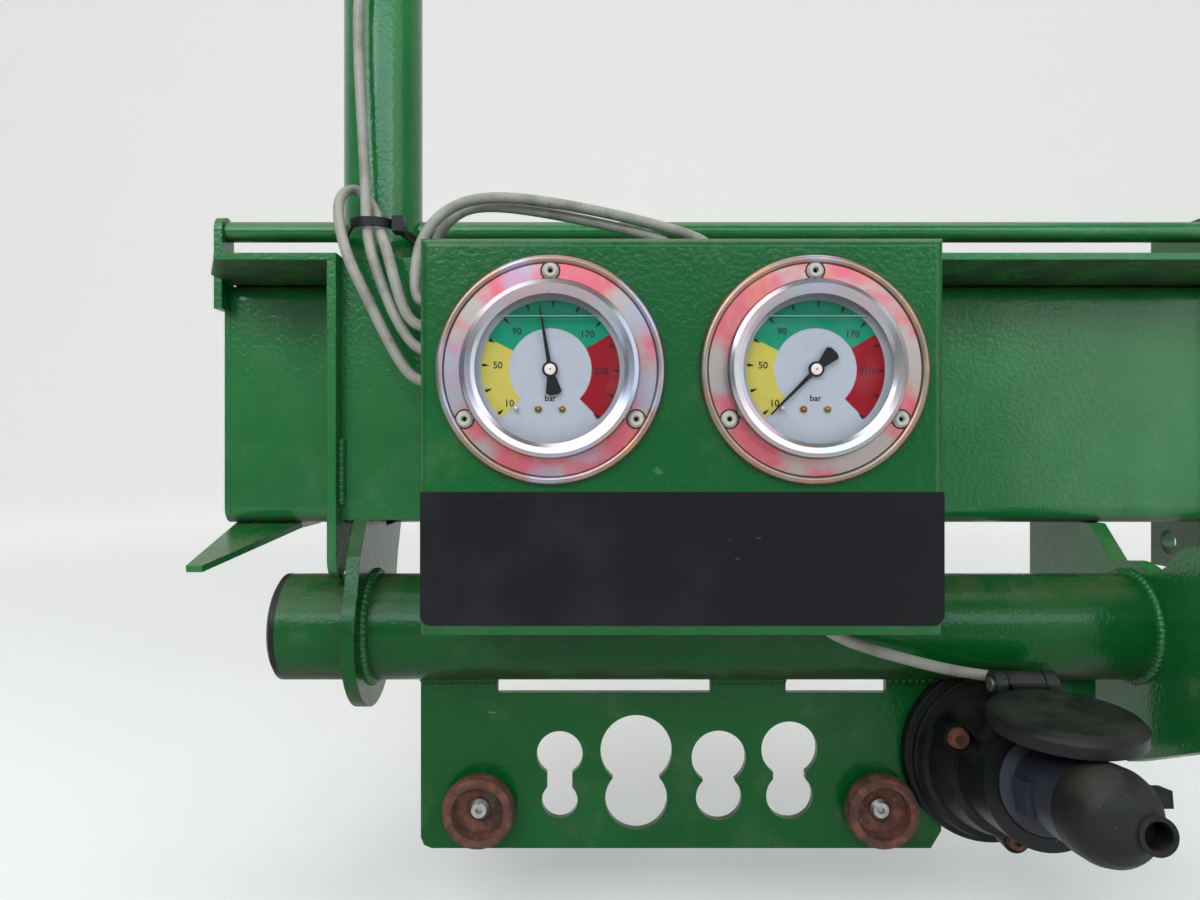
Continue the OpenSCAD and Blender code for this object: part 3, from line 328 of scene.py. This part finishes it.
def strip_finish():
    """Blank black film with rubbed corners, fine scratches and a dusty bloom."""
    film = Finish("strip_black", srgb(11, 11, 15), roughness=0.36, specular=0.18)
    film.over(srgb(34, 33, 37), film.between(film.spots(40, 5), 0.45, 0.75, top=0.6), 0.5)
    fine = film.between(film.spots(1.6, 3, stretch=(0.3, 1, 1), shift=3.7), 0.7, 0.76, top=0.4)
    film.over(srgb(92, 90, 92), film.both(fine, film.between(film.spots(30, 2), 0.5, 0.6)), 0.6)
    rubbed = film.between(film.spots(5, 5, shift=8.1), 0.68, 0.72, top=0.6)
    film.over(srgb(84, 82, 80), film.both(film.edges(2.5), rubbed), 0.7)
    film.over(srgb(110, 104, 96), film.between(film.spots(1.2, 4, shift=6.6), 0.72, 0.77, top=0.5), 0.9)
    film.bump(film.spots(18, 3, shift=2.4), 0.05, 0.4)
    return film.done()


def printed(name, colour, roughness=0.45):
    """Ink or plain dial paint, a little uneven."""
    ink = Finish(name, colour, roughness, specular=0.15)
    darker = tuple(channel * 0.86 for channel in colour[:3]) + (1.0,)
    ink.over(darker, ink.between(ink.spots(4, 4), 0.45, 0.75, top=0.5))
    return ink.done()


def brass_finish():
    """Dull brass of the small dial screws."""
    metal = Finish("brass", srgb(150, 116, 62), roughness=0.32, metallic=1.0)
    metal.over(srgb(128, 98, 58), metal.between(metal.spots(3, 5), 0.45, 0.7, top=0.7), 0.5)
    metal.bump(metal.spots(0.7, 2), 0.02, 0.4)
    return metal.done()


LEVEL_UP = 19.3 * MM  # the liquid's surface over the dial's centre


def clear_window():
    """Clear pane: a little dust, and a painted shade over the zone where air stands over the liquid."""
    pane = Finish("window_clear", (0.9, 0.93, 0.93, 1), 0.05)
    level = sum(corner.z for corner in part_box("dial_left")) / 2 + LEVEL_UP
    air = pane.between(pane.part_of_place("Z"), level, level + 0.1 * MM)
    # Painted shade: a faint dark film where air stands over the liquid
    air_shade_tint, air_shade_share = (0.01, 0.02, 0.015, 1), 0.12
    pane.over(air_shade_tint, air)
    dust = pane.between(pane.spots(8, 6), 0.45, 0.8, top=0.014, bottom=0.002)
    pane.link(pane.either(dust, pane.both(air, air_shade_share)), pane.shader.inputs["Alpha"])
    return pane.done()


GREEN = green_paint("green_paint", srgb(22, 102, 48), srgb(36, 124, 60), srgb(12, 82, 36), dust=0.4)
PANEL_GREEN = green_paint("panel_paint", srgb(5, 82, 34), srgb(10, 95, 40), srgb(4, 70, 27), dust=0.3, shine=0.22)
RACK_GREEN = green_paint("rack_paint", srgb(6, 77, 29), srgb(12, 90, 36), srgb(4, 62, 22), dust=0.3, shine=0.14)
FINISHES = {
    "green_paint": GREEN,
    "rack_paint": RACK_GREEN,
    "stainless": stainless_finish("stainless", srgb(156, 160, 164), 0.21, pink=0.16),
    "dial_face": printed("dial_face", srgb(168, 170, 180)),
    "pointer_black": printed("pointer_black", srgb(22, 22, 24)),
    "window_clear": clear_window(),
    "brass": brass_finish(),
    "strip_black": strip_finish(),
    "black_plastic": moulded_black("black_plastic", srgb(12, 12, 14), 0.4),
    "boot_rubber": moulded_black("boot_rubber", srgb(8, 8, 9), 0.6, dusty=0.35, grain=0.08),
    "cable_grey": cable_finish(),
    "rusty_steel": rust_finish(),
    "zinc": zinc_finish(),
}
DIAL_GREEN = printed("dial_green", srgb(4, 126, 96))
DIAL_YELLOW = printed("dial_yellow", srgb(188, 172, 78))
DIAL_RED = printed("dial_red", srgb(138, 3, 22))
# Pale finish for the painted highlight along the liquid's surface
LIQUID_HIGHLIGHT = printed("liquid_highlight", srgb(138, 180, 166), 0.2)
HUB_CAP = printed("hub_cap", srgb(226, 210, 206), 0.35)
# A dark finish for painted shade, with some dirt
SHADE_AND_GRIME = printed("shade_and_grime", srgb(44, 38, 36), 0.8)
COLLAR = moulded_black("collar", srgb(48, 49, 62), 0.4)
DOME_RUBBER = moulded_black("dome_rubber", srgb(13, 13, 15), 0.5, dusty=0.35, grain=0.08, soft=3.0)
RIVET_STEEL = printed("rivet_steel", srgb(186, 182, 172), 0.35)
# The flange's steel carries strong painted pink reflection
FLANGE_STEEL = stainless_finish("flange_steel", srgb(174, 162, 158), 0.31, pink=0.75)
# A darker, warmer copy of the flange steel for its rolled edge: painted shade
SHADED_EDGE_STEEL = stainless_finish("shaded_edge_steel", srgb(136, 122, 108), 0.34, pink=0.12)

# Nodes whose finish differs from that of their slot
OWN_FINISH = {
    "gauge_box": PANEL_GREEN,
    # The tube and its lug take the darker rack paint as painted shade
    "cross_tube": RACK_GREEN,
    "tube_lug": RACK_GREEN,
    "plug_body": COLLAR,
    "plug_boot": DOME_RUBBER,
    "rivets_left": RIVET_STEEL,
    "rivets_right": RIVET_STEEL,
    "gauge_flange_left": FLANGE_STEEL,
    "gauge_flange_right": FLANGE_STEEL,
}

for part in frame["record"]["subparts"]:
    node = frame["nodes"][part["node"]]
    finish = OWN_FINISH.get(part["node"], FINISHES[part["material_slot"]])
    if not node.material_slots:
        node.data.materials.append(finish)
    for material_slot in node.material_slots:
        material_slot.material = finish


# ---- Modelling by hand ----

def select_only(piece):
    """Deselects all else and makes the piece the active one."""
    bpy.ops.object.select_all(action="DESELECT")
    piece.select_set(True)
    bpy.context.view_layer.objects.active = piece


def start(name):
    """Takes the primitive that was just added, names it and leaves it selected alone."""
    piece = bpy.context.active_object
    piece.name = piece.data.name = name
    select_only(piece)
    return piece


def settle(piece, finish, body=BODY, smooth=40):
    """Puts the place into the mesh, gives the finish and lets the piece ride on its body."""
    select_only(piece)
    bpy.ops.object.transform_apply(location=True, rotation=True, scale=True)
    if smooth:
        bpy.ops.object.shade_smooth_by_angle(angle=math.radians(smooth))
    piece.data.materials.clear()
    piece.data.materials.append(finish)
    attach(piece, body)
    return piece


def pick(piece, test):
    """Selects the vertices that pass the test, and nothing else. Starts and ends in edit mode."""
    bpy.ops.mesh.select_all(action="DESELECT")
    bpy.ops.object.mode_set(mode="OBJECT")
    for vertex in piece.data.vertices:
        vertex.select = bool(test(vertex.co))
    bpy.ops.object.mode_set(mode="EDIT")
    bpy.ops.mesh.select_mode(type="VERT")


def modify(piece, kind, **settings):
    """Adds a modifier and applies it."""
    modifier = piece.modifiers.new(kind.title(), kind)
    for key, value in settings.items():
        setattr(modifier, key, value)
    select_only(piece)
    bpy.ops.object.modifier_apply(modifier=modifier.name)


def join(pieces, name):
    """Makes one piece of several."""
    bpy.ops.object.select_all(action="DESELECT")
    for piece in pieces:
        piece.select_set(True)
    bpy.context.view_layer.objects.active = pieces[0]
    bpy.ops.object.join()
    return start(name)


# ---- Cables ----

RING_GAP = 0.02 * MM
RING_SWELL = 0.17 * MM


def round_cable(name, node):
    """The node's line of rings, merged and rounded to a smooth sheath."""
    source = frame["nodes"][node]
    piece = source.copy()
    piece.data = source.data.copy()
    piece.parent = None
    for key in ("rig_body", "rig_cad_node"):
        if key in piece:
            del piece[key]
    bpy.context.scene.collection.objects.link(piece)
    piece.name = piece.data.name = name
    select_only(piece)
    bpy.ops.object.mode_set(mode="EDIT")
    bpy.ops.mesh.select_all(action="SELECT")
    bpy.ops.mesh.remove_doubles(threshold=RING_GAP)
    bpy.ops.mesh.tris_convert_to_quads(face_threshold=math.radians(70), shape_threshold=math.radians(70))
    # Rounding draws the rings in by about a tenth, so they are swelled first
    bpy.ops.transform.shrink_fatten(value=RING_SWELL)
    bpy.ops.object.mode_set(mode="OBJECT")
    modify(piece, "SUBSURF", levels=2, render_levels=2)
    settle(piece, FINISHES["cable_grey"], smooth=60)
    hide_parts(node)
    return piece


for cable in ("feed", "loop", "arc_outer", "arc_inner", "socket"):
    round_cable(f"sheath_{cable}", f"cable_{cable}")


# ---- Dials ----

DIAL_BODY = {"left": "pointer_left", "right": "pointer_right"}
PRINT_T = 0.05 * MM
BAND_IN, BAND_OUT = 15.2 * MM, 25.6 * MM
# Bands as name, finish, and first and last degree clockwise from straight up
BANDS = (("yellow", DIAL_YELLOW, -135, -63), ("green", DIAL_GREEN, -63, 59.5), ("red", DIAL_RED, 59.5, 135))
FIRST_TICK, TICK_STEP, TICKS = -130.5, 22.16, 13
TICK_REACH, TICK_R, TICK_TAIL = 24.7 * MM, 0.58 * MM, 1.5 * MM
# Figures as text, mm across and mm up from the dial's centre
DIAL_WORDS = (("10", -15.1, -12.5), ("50", -19.3, 1.5), ("90", -12.3, 14.0), ("170", 13.6, 12.9),
              ("210", 18.8, -0.7), ("bar", 0.0, -10.6))
DIGIT_H, UNIT_H = 3.6 * MM, 3.24 * MM
SCREW_ACROSS, SCREW_DOWN = 4.4 * MM, 14.6 * MM
# A dial screw as part, radius and height in mm, and finish: its rim, a dark ring of painted shade in its recess, and
# the core
DIAL_SCREW = (("rim", 1.4, 0.6, FINISHES["brass"]), ("hollow", 1.05, 0.65, SHADE_AND_GRIME),
              ("core", 0.6, 0.75, FINISHES["brass"]))
STOP_ACROSS, STOP_R, STOP_H = 12.4 * MM, 0.8 * MM, 2.2 * MM
HUB_R, HUB_T, DOT_R, DOT_T = 2.05 * MM, 0.5 * MM, 0.3 * MM, 0.2 * MM
# The painted highlight and the painted shade line of the liquid's surface as name, finish, and height and drop in mm
LEVEL_LINES = (("light", LIQUID_HIGHLIGHT, 0.36, 0.0), ("dark", SHADE_AND_GRIME, 0.26, 0.5))
LEVEL_W = 36 * MM
EDGE_HALF = 1.7 * MM
RIVET_R, RIVET_H, RIVET_ANGLES = 3.2 * MM, 1.5 * MM, (0, 120, 240)
# The dark ring of painted shade and dirt round a rivet head
SHADE_RING_IN, SHADE_RING_OUT = RIVET_R - 0.1 * MM, RIVET_R + 0.5 * MM
BOLD = 0.05 * MM


def clockwise(centre, radius, degrees, y):
    """The point at an angle clockwise from straight up, as the viewer sees it."""
    turn = math.radians(degrees)
    return Vector((centre.x + radius * math.sin(turn), y, centre.z + radius * math.cos(turn)))


def band(name, centre, y, first, last, finish, inner=BAND_IN, outer=BAND_OUT):
    """A flat ring sector, spun from one radial edge and given its thickness."""
    width = outer - inner
    tangent = clockwise(Vector((0, 0, 0)), 1, first + 90, 0)
    middle = clockwise(centre, (inner + outer) / 2, first, y) + tangent * width / 2
    bpy.ops.mesh.primitive_plane_add(size=width, location=middle,
                                     rotation=(math.pi / 2, math.radians(first), 0))
    piece = start(name)
    bpy.ops.object.transform_apply(location=True, rotation=True, scale=True)
    edge = clockwise(centre, (inner + outer) / 2, first, y)
    bpy.ops.object.mode_set(mode="EDIT")
    pick(piece, lambda co: (co - edge).dot(tangent) > width / 2)
    bpy.ops.mesh.delete(type="VERT")
    bpy.ops.mesh.select_all(action="SELECT")
    bpy.ops.mesh.spin(steps=max(2, int((last - first) / 4)), angle=math.radians(first - last),
                      center=(centre.x, y, centre.z), axis=(0, 1, 0))
    bpy.ops.mesh.select_all(action="SELECT")
    bpy.ops.mesh.remove_doubles(threshold=0.002 * MM)
    bpy.ops.object.mode_set(mode="OBJECT")
    modify(piece, "SOLIDIFY", thickness=PRINT_T, offset=0)
    close_normals(piece)
    return settle(piece, finish, smooth=0)


def close_normals(piece):
    """Turns every face outwards."""
    select_only(piece)
    bpy.ops.object.mode_set(mode="EDIT")
    bpy.ops.mesh.select_all(action="SELECT")
    bpy.ops.mesh.normals_make_consistent(inside=False)
    bpy.ops.object.mode_set(mode="OBJECT")


def tick(name, centre, y, degrees):
    """A drop on the outer edge of the bands, its thin end pointing inwards."""
    middle = clockwise(centre, TICK_REACH, degrees, y)
    bpy.ops.mesh.primitive_cylinder_add(vertices=10, radius=TICK_R, depth=PRINT_T * 1.4, location=middle,
                                        rotation=(math.pi / 2, math.radians(degrees), 0))
    piece = start(name)
    bpy.ops.object.transform_apply(location=True, rotation=True, scale=True)
    inwards = clockwise(Vector((0, 0, 0)), 1, degrees + 180, 0)
    bpy.ops.object.mode_set(mode="EDIT")
    pick(piece, lambda co: (co - middle).dot(inwards) > TICK_R * 0.7)
    bpy.ops.transform.translate(value=inwards * TICK_TAIL)
    bpy.ops.transform.resize(value=(0.35, 1, 0.35))
    bpy.ops.object.mode_set(mode="OBJECT")
    return piece


def word(name, text, place, height):
    """Flat black figures, made a mesh and settled in place."""
    bpy.ops.object.text_add(location=place, rotation=(math.pi / 2, 0, 0))
    piece = bpy.context.active_object
    piece.data.body = text
    piece.data.align_x = "CENTER"
    piece.data.align_y = "CENTER"
    piece.data.size = height
    piece.data.extrude = PRINT_T / 2
    piece.data.offset = BOLD
    piece.data.resolution_u = 3
    select_only(piece)
    bpy.ops.object.convert(target="MESH")
    piece = start(name)
    return settle(piece, FINISHES["pointer_black"], smooth=0)


def liquid_line(name, place, height, finish):
    """Where the liquid's surface meets the pane: a thin bar with tapered ends."""
    bpy.ops.mesh.primitive_cylinder_add(vertices=8, radius=height / 2, depth=LEVEL_W, location=place,
                                        rotation=(0, math.pi / 2, 0))
    piece = start(name)
    bpy.ops.object.transform_apply(location=True, rotation=True, scale=True)
    bpy.ops.object.mode_set(mode="EDIT")
    bpy.ops.mesh.select_all(action="SELECT")
    bpy.ops.mesh.bevel(offset=height * 0.3, segments=2, affect="EDGES")
    bpy.ops.object.mode_set(mode="OBJECT")
    return settle(piece, finish)


def disc(name, radius, depth, place, finish, body=BODY, sides=32, bevel=0.0):
    """A round head facing the viewer, its front edge bevelled."""
    bpy.ops.mesh.primitive_cylinder_add(vertices=sides, radius=radius, depth=depth, location=place,
                                        rotation=(math.pi / 2, 0, 0))
    piece = start(name)
    bpy.ops.object.transform_apply(location=True, rotation=True, scale=True)
    if bevel:
        front = place[1] - depth / 2
        bpy.ops.object.mode_set(mode="EDIT")
        pick(piece, lambda co: co.y < front + depth * 0.1)
        bpy.ops.mesh.bevel(offset=bevel, segments=2, affect="EDGES")
        bpy.ops.object.mode_set(mode="OBJECT")
    return settle(piece, finish, body)


def rolled_edge(name, centre, front, radius):
    """The flange's rolled edge: a flattened ring that falls off steeply outwards."""
    bpy.ops.mesh.primitive_torus_add(major_segments=96, minor_segments=12, major_radius=radius - EDGE_HALF,
                                     minor_radius=EDGE_HALF, rotation=(math.pi / 2, 0, 0),
                                     location=(centre.x, front + EDGE_HALF * 0.7, centre.z))
    piece = start(name)
    bpy.ops.object.transform_apply(location=True, rotation=True, scale=True)
    bpy.ops.object.mode_set(mode="EDIT")
    pick(piece, lambda co: co.y > front + EDGE_HALF * 0.9)
    bpy.ops.transform.translate(value=(0, EDGE_HALF * 0.5, 0))
    bpy.ops.object.mode_set(mode="OBJECT")
    # Painted shade: the rolled edge takes a darker copy of the flange steel
    return settle(piece, SHADED_EDGE_STEEL, smooth=60)


def print_dial(side, centre, y):
    """The dial's bands, ticks and figures."""
    for colour, finish, first, last in BANDS:
        band(f"{side}_band_{colour}", centre, y, first, last, finish)
    ticks = [tick(f"{side}_tick", centre, y - PRINT_T, FIRST_TICK + step * TICK_STEP) for step in range(TICKS)]
    settle(join(ticks, f"{side}_ticks"), FINISHES["pointer_black"], smooth=0)
    for text, across, up in DIAL_WORDS:
        word(f"{side}_figure_{text}", text, (centre.x + across * MM, y - PRINT_T, centre.z + up * MM),
             UNIT_H if text == "bar" else DIGIT_H)


def small_heads(side, centre, face_y):
    """The dial's screws and stop pin, and the cap and dot on the pointer's hub."""
    for number, across in enumerate((-SCREW_ACROSS, SCREW_ACROSS)):
        for part, radius, height, finish in DIAL_SCREW:
            disc(f"{side}_dial_screw_{part}_{number}", radius * MM, height * MM,
                 (centre.x + across, face_y - height / 2 * MM, centre.z - SCREW_DOWN), finish,
                 bevel=0.08 * MM)
    disc(f"{side}_stop_pin", STOP_R, STOP_H, (centre.x - STOP_ACROSS, face_y - STOP_H / 2, centre.z - SCREW_DOWN),
         FINISHES["stainless"], bevel=0.25 * MM)
    hub_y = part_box(f"pointer_{side}")[0].y
    disc(f"{side}_hub_cap", HUB_R, HUB_T, (centre.x, hub_y - 0.1 * MM, centre.z),
         HUB_CAP, body=DIAL_BODY[side], bevel=0.2 * MM)
    disc(f"{side}_hub_dot", DOT_R, DOT_T, (centre.x, hub_y - 0.38 * MM, centre.z),
         SHADE_AND_GRIME, body=DIAL_BODY[side], sides=12, bevel=0.05 * MM)


def dress_rim(side, centre):
    """The flange's rolled edge, and a dark ring of painted shade and dirt round each rivet."""
    rim_low, rim_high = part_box(f"gauge_flange_{side}")
    rolled_edge(f"{side}_rolled_edge", centre, rim_low.y, (rim_high.x - rim_low.x) / 2)
    head_low, head_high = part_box(f"rivets_{side}")
    reach = head_high.z - centre.z - RIVET_R
    face_y = head_low.y + RIVET_H - PRINT_T
    for number, degrees in enumerate(RIVET_ANGLES):
        place = clockwise(centre, reach, degrees, face_y)
        band(f"{side}_rivet_grime_{number}", place, face_y, 0, 360, SHADE_AND_GRIME, SHADE_RING_IN, SHADE_RING_OUT)


def dress_dial(side):
    """All that scene.py adds to one gauge."""
    low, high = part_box(f"dial_{side}")
    centre = (low + high) / 2
    print_dial(side, centre, low.y - PRINT_T / 2)
    small_heads(side, centre, low.y)
    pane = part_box(f"window_{side}")[1]
    # The liquid's surface as a line of painted highlight and a line of painted shade
    for part, finish, height, drop in LEVEL_LINES:
        liquid_line(f"{side}_level_{part}", (centre.x, pane.y, centre.z + LEVEL_UP - drop * MM), height * MM, finish)
    dress_rim(side, centre)


for gauge_side in ("left", "right"):
    dress_dial(gauge_side)


# ---- Welds ----

LUMP_R = 2.5 * MM  # a ripple, and the way from one to the next
LUMP_UNEVEN, RUN_UNEVEN = 0.15 * MM, 0.3 * MM
CLOSURE_WELD = (-46 * MM, -20 * MM)  # its foot and its top
WELD_INSET = 2 * MM
RACK_TABS = ((0.0, 35.6), (133.5, 168.4), (214.7, 240.2))  # from and to, in mm from the rack's left edge


def lump(place, seed):
    """One ripple of a weld: a small, slightly uneven ball, half sunk in the corner."""
    bpy.ops.mesh.primitive_uv_sphere_add(segments=12, ring_count=7, radius=LUMP_R, location=place)
    piece = start("ripple")
    bpy.ops.object.transform_apply(location=True, rotation=True, scale=True)
    bpy.ops.object.mode_set(mode="EDIT")
    bpy.ops.mesh.select_all(action="SELECT")
    bpy.ops.transform.vertex_random(offset=LUMP_UNEVEN, seed=seed)
    bpy.ops.object.mode_set(mode="OBJECT")
    return piece


def roughen(piece, seed):
    """Moves every corner a little, so that no two ripples are alike."""
    bpy.ops.object.mode_set(mode="EDIT")
    bpy.ops.mesh.select_all(action="SELECT")
    bpy.ops.transform.vertex_random(offset=RUN_UNEVEN, seed=seed + 20)
    bpy.ops.object.mode_set(mode="OBJECT")


def weld_row(name, first, last, finish=GREEN, slot="green_paint", seed=1):
    """Ripples in a straight row from first to last."""
    first, last = Vector(first), Vector(last)
    run = last - first
    count = max(2, int(run.length / LUMP_R))
    piece = lump(first, seed)
    modify(piece, "ARRAY", count=count, use_relative_offset=False, use_constant_offset=True,
           constant_offset_displace=run / (count - 1))
    roughen(piece, seed)
    piece.name = piece.data.name = name
    return settle(piece, finish, smooth=80)


def weld_ring(name, centre, axis, radius, seed):
    """Ripples round a tube or post."""
    centre, axis = Vector(centre), Vector(axis)
    reach = Vector((0, 0, -1)) if abs(axis.z) < 0.5 else Vector((0, -1, 0))
    piece = lump(centre + reach * radius, seed)
    count = int(2 * math.pi * radius / LUMP_R)
    bpy.ops.object.mode_set(mode="EDIT")
    bpy.ops.mesh.select_all(action="SELECT")
    bpy.ops.mesh.spin(steps=count, dupli=True, angle=2 * math.pi, center=centre, axis=axis)
    bpy.ops.object.mode_set(mode="OBJECT")
    roughen(piece, seed)
    piece.name = piece.data.name = name
    return settle(piece, GREEN, smooth=80)


gusset_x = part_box("gusset")[1].x
closure_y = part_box("closure_plate")[0].y
lug_low, lug_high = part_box("tube_lug")
weld_ring("weld_post_foot", (POST_MID.x, POST_MID.y, PLATE_HIGH.z), (0, 0, 1), POST_R, seed=2)
weld_ring("weld_tube_end", (TUBE_HIGH.x, TUBE_MID.y, TUBE_MID.z), (1, 0, 0), TUBE_R, seed=3)
weld_ring("weld_lug_left", (lug_low.x, TUBE_MID.y, TUBE_MID.z), (1, 0, 0), TUBE_R, seed=4)
weld_ring("weld_lug_right", (lug_high.x, TUBE_MID.y, TUBE_MID.z), (1, 0, 0), TUBE_R, seed=5)
weld_row("weld_closure_side", *((gusset_x, closure_y, z) for z in CLOSURE_WELD), seed=7)
tab_top = TUBE_MID.z - math.sqrt(TUBE_R ** 2 - (RACK_LOW.y - TUBE_MID.y) ** 2)
for number, (tab_from, tab_to) in enumerate(RACK_TABS):
    weld_row(f"weld_rack_tab_{number}", (RACK_LOW.x + tab_from * MM + WELD_INSET, RACK_LOW.y, tab_top),
             (RACK_LOW.x + tab_to * MM - WELD_INSET, RACK_LOW.y, tab_top), RACK_GREEN, "rack_paint",
             seed=8 + number)


# ---- Floor, light and camera ----

def backdrop_finish(colour, glow):
    """Matt and pale. Away from the object it also glows for the camera and in reflections, but lights nothing."""
    finish = Finish("pale_floor", colour, roughness=0.85)
    darker = tuple(channel * 0.97 for channel in colour[:3]) + (1.0,)
    finish.over(darker, finish.between(finish.spots(400, 2), 0.4, 0.7))
    rays = finish.add("ShaderNodeLightPath")
    mirrored = finish.either(rays.outputs["Is Glossy Ray"], rays.outputs["Is Transmission Ray"])
    near_glow = 0.42 * glow
    behind = finish.between(finish.part_of_place("Y"), -0.2, 2.8, top=glow, bottom=near_glow)
    distance = finish.add("ShaderNodeVectorMath", operation="LENGTH")
    finish.link(finish.place, distance.inputs[0])
    around = finish.between(distance.outputs["Value"], 0.3, 2.8, top=glow, bottom=near_glow)
    shown = finish.either(finish.both(mirrored, behind), finish.both(rays.outputs["Is Camera Ray"], around))
    finish.shader.inputs["Emission Color"].default_value = colour
    finish.link(shown, finish.shader.inputs["Emission Strength"])
    return finish.done()


FLOOR_Z, FLOOR_WIDTH, WALL_H, CURVE_R = -0.245, 12, 6, 2.5
FLOOR_GREY, FLOOR_GLOW = srgb(230, 230, 228), 0.8


def pick_edges(piece, test):
    """Selects the edges whose two ends pass the test. Starts and ends in edit mode."""
    bpy.ops.mesh.select_mode(type="EDGE")
    bpy.ops.object.mode_set(mode="OBJECT")
    for edge in piece.data.edges:
        edge.select = all(test(piece.data.vertices[end].co) for end in edge.vertices)
    bpy.ops.object.mode_set(mode="EDIT")


# A flat sheet that is drawn up at the back, with a round bend
bpy.ops.mesh.primitive_plane_add(size=1, location=(0, 0, FLOOR_Z))
floor = start("floor")
floor.scale = (FLOOR_WIDTH, FLOOR_WIDTH, 1)
bpy.ops.object.transform_apply(location=True, rotation=True, scale=True)
bpy.ops.object.mode_set(mode="EDIT")
pick_edges(floor, lambda co: co.y > 0)
bpy.ops.mesh.extrude_region_move(TRANSFORM_OT_translate={"value": (0, 0, WALL_H)})
pick_edges(floor, lambda co: co.y > 0 and co.z < 0)
bpy.ops.mesh.bevel(offset=CURVE_R, segments=16, affect="EDGES")
bpy.ops.object.mode_set(mode="OBJECT")
bpy.ops.object.shade_smooth_by_angle(angle=math.radians(60))
floor.data.materials.append(backdrop_finish(FLOOR_GREY, FLOOR_GLOW))


def soft_light(name, place, aim, size, watts, colour):
    """A rectangular lamp that faces its aim."""
    bpy.ops.object.light_add(type="AREA", location=place)
    light = bpy.context.active_object
    light.name = light.data.name = name
    light.data.shape = "RECTANGLE"
    light.data.size, light.data.size_y = size
    light.data.energy = watts
    light.data.color = colour
    light.rotation_euler = (Vector(aim) - Vector(place)).to_track_quat("-Z", "Y").to_euler()


# Lights as name, place, aim, width and height in m, watts and colour
LIGHTS = (
    ("key_light", (-0.9, -1.5, 1.3), (0, 0, 0), (1.4, 1.4), 20, (1.0, 0.98, 0.95)),
    ("fill_light", (1.3, -1.3, 0.5), (0, 0, 0), (1.2, 1.6), 9, (0.95, 0.98, 1.0)),
    ("top_light", (0.0, -0.2, 1.6), (0, 0, 0), (1.8, 1.2), 13, (1, 1, 1)),
    ("sky_light", (0.0, -2.3, 1.08), (0, -2.0, 1.03), (3.4, 0.75), 34, (0.7, 0.9, 1.0)),
    ("front_light", (0.0, -2.2, 0.32), (0, 0, 0.3), (3.4, 0.5), 2.0, (1, 1, 1)),
)
for light_row in LIGHTS:
    soft_light(*light_row)

world = bpy.data.worlds.new("pale_world")
bpy.context.scene.world = world
world.use_nodes = True
sky = world.node_tree
LIT, SEEN = 0.6, 0.9  # its strength as light, and as the camera and reflections see it
sky.nodes["Background"].inputs["Color"].default_value = (0.9, 0.91, 0.93, 1)
sky_rays = sky.nodes.new("ShaderNodeLightPath")
sky_seen = sky_rays.outputs["Is Camera Ray"]
for ray in ("Is Glossy Ray", "Is Transmission Ray"):
    larger = sky.nodes.new("ShaderNodeMath")
    larger.operation = "MAXIMUM"
    sky.links.new(sky_seen, larger.inputs[0])
    sky.links.new(sky_rays.outputs[ray], larger.inputs[1])
    sky_seen = larger.outputs["Value"]
strength = sky.nodes.new("ShaderNodeMapRange")
strength.inputs["To Min"].default_value = LIT
strength.inputs["To Max"].default_value = SEEN
sky.links.new(sky_seen, strength.inputs["Value"])
sky.links.new(strength.outputs["Result"], sky.nodes["Background"].inputs["Strength"])

CAMERA_PLACE = (-0.0645, -0.494, -0.0233)
bpy.ops.object.camera_add(location=CAMERA_PLACE, rotation=(math.pi / 2, 0, 0))
camera = bpy.context.active_object
camera.name = camera.data.name = "photo_camera"
camera.data.lens = 26
camera.data.sensor_width = 36
camera.data.clip_start = 0.01
bpy.context.scene.camera = camera
bpy.context.scene.view_settings.view_transform = "Standard"
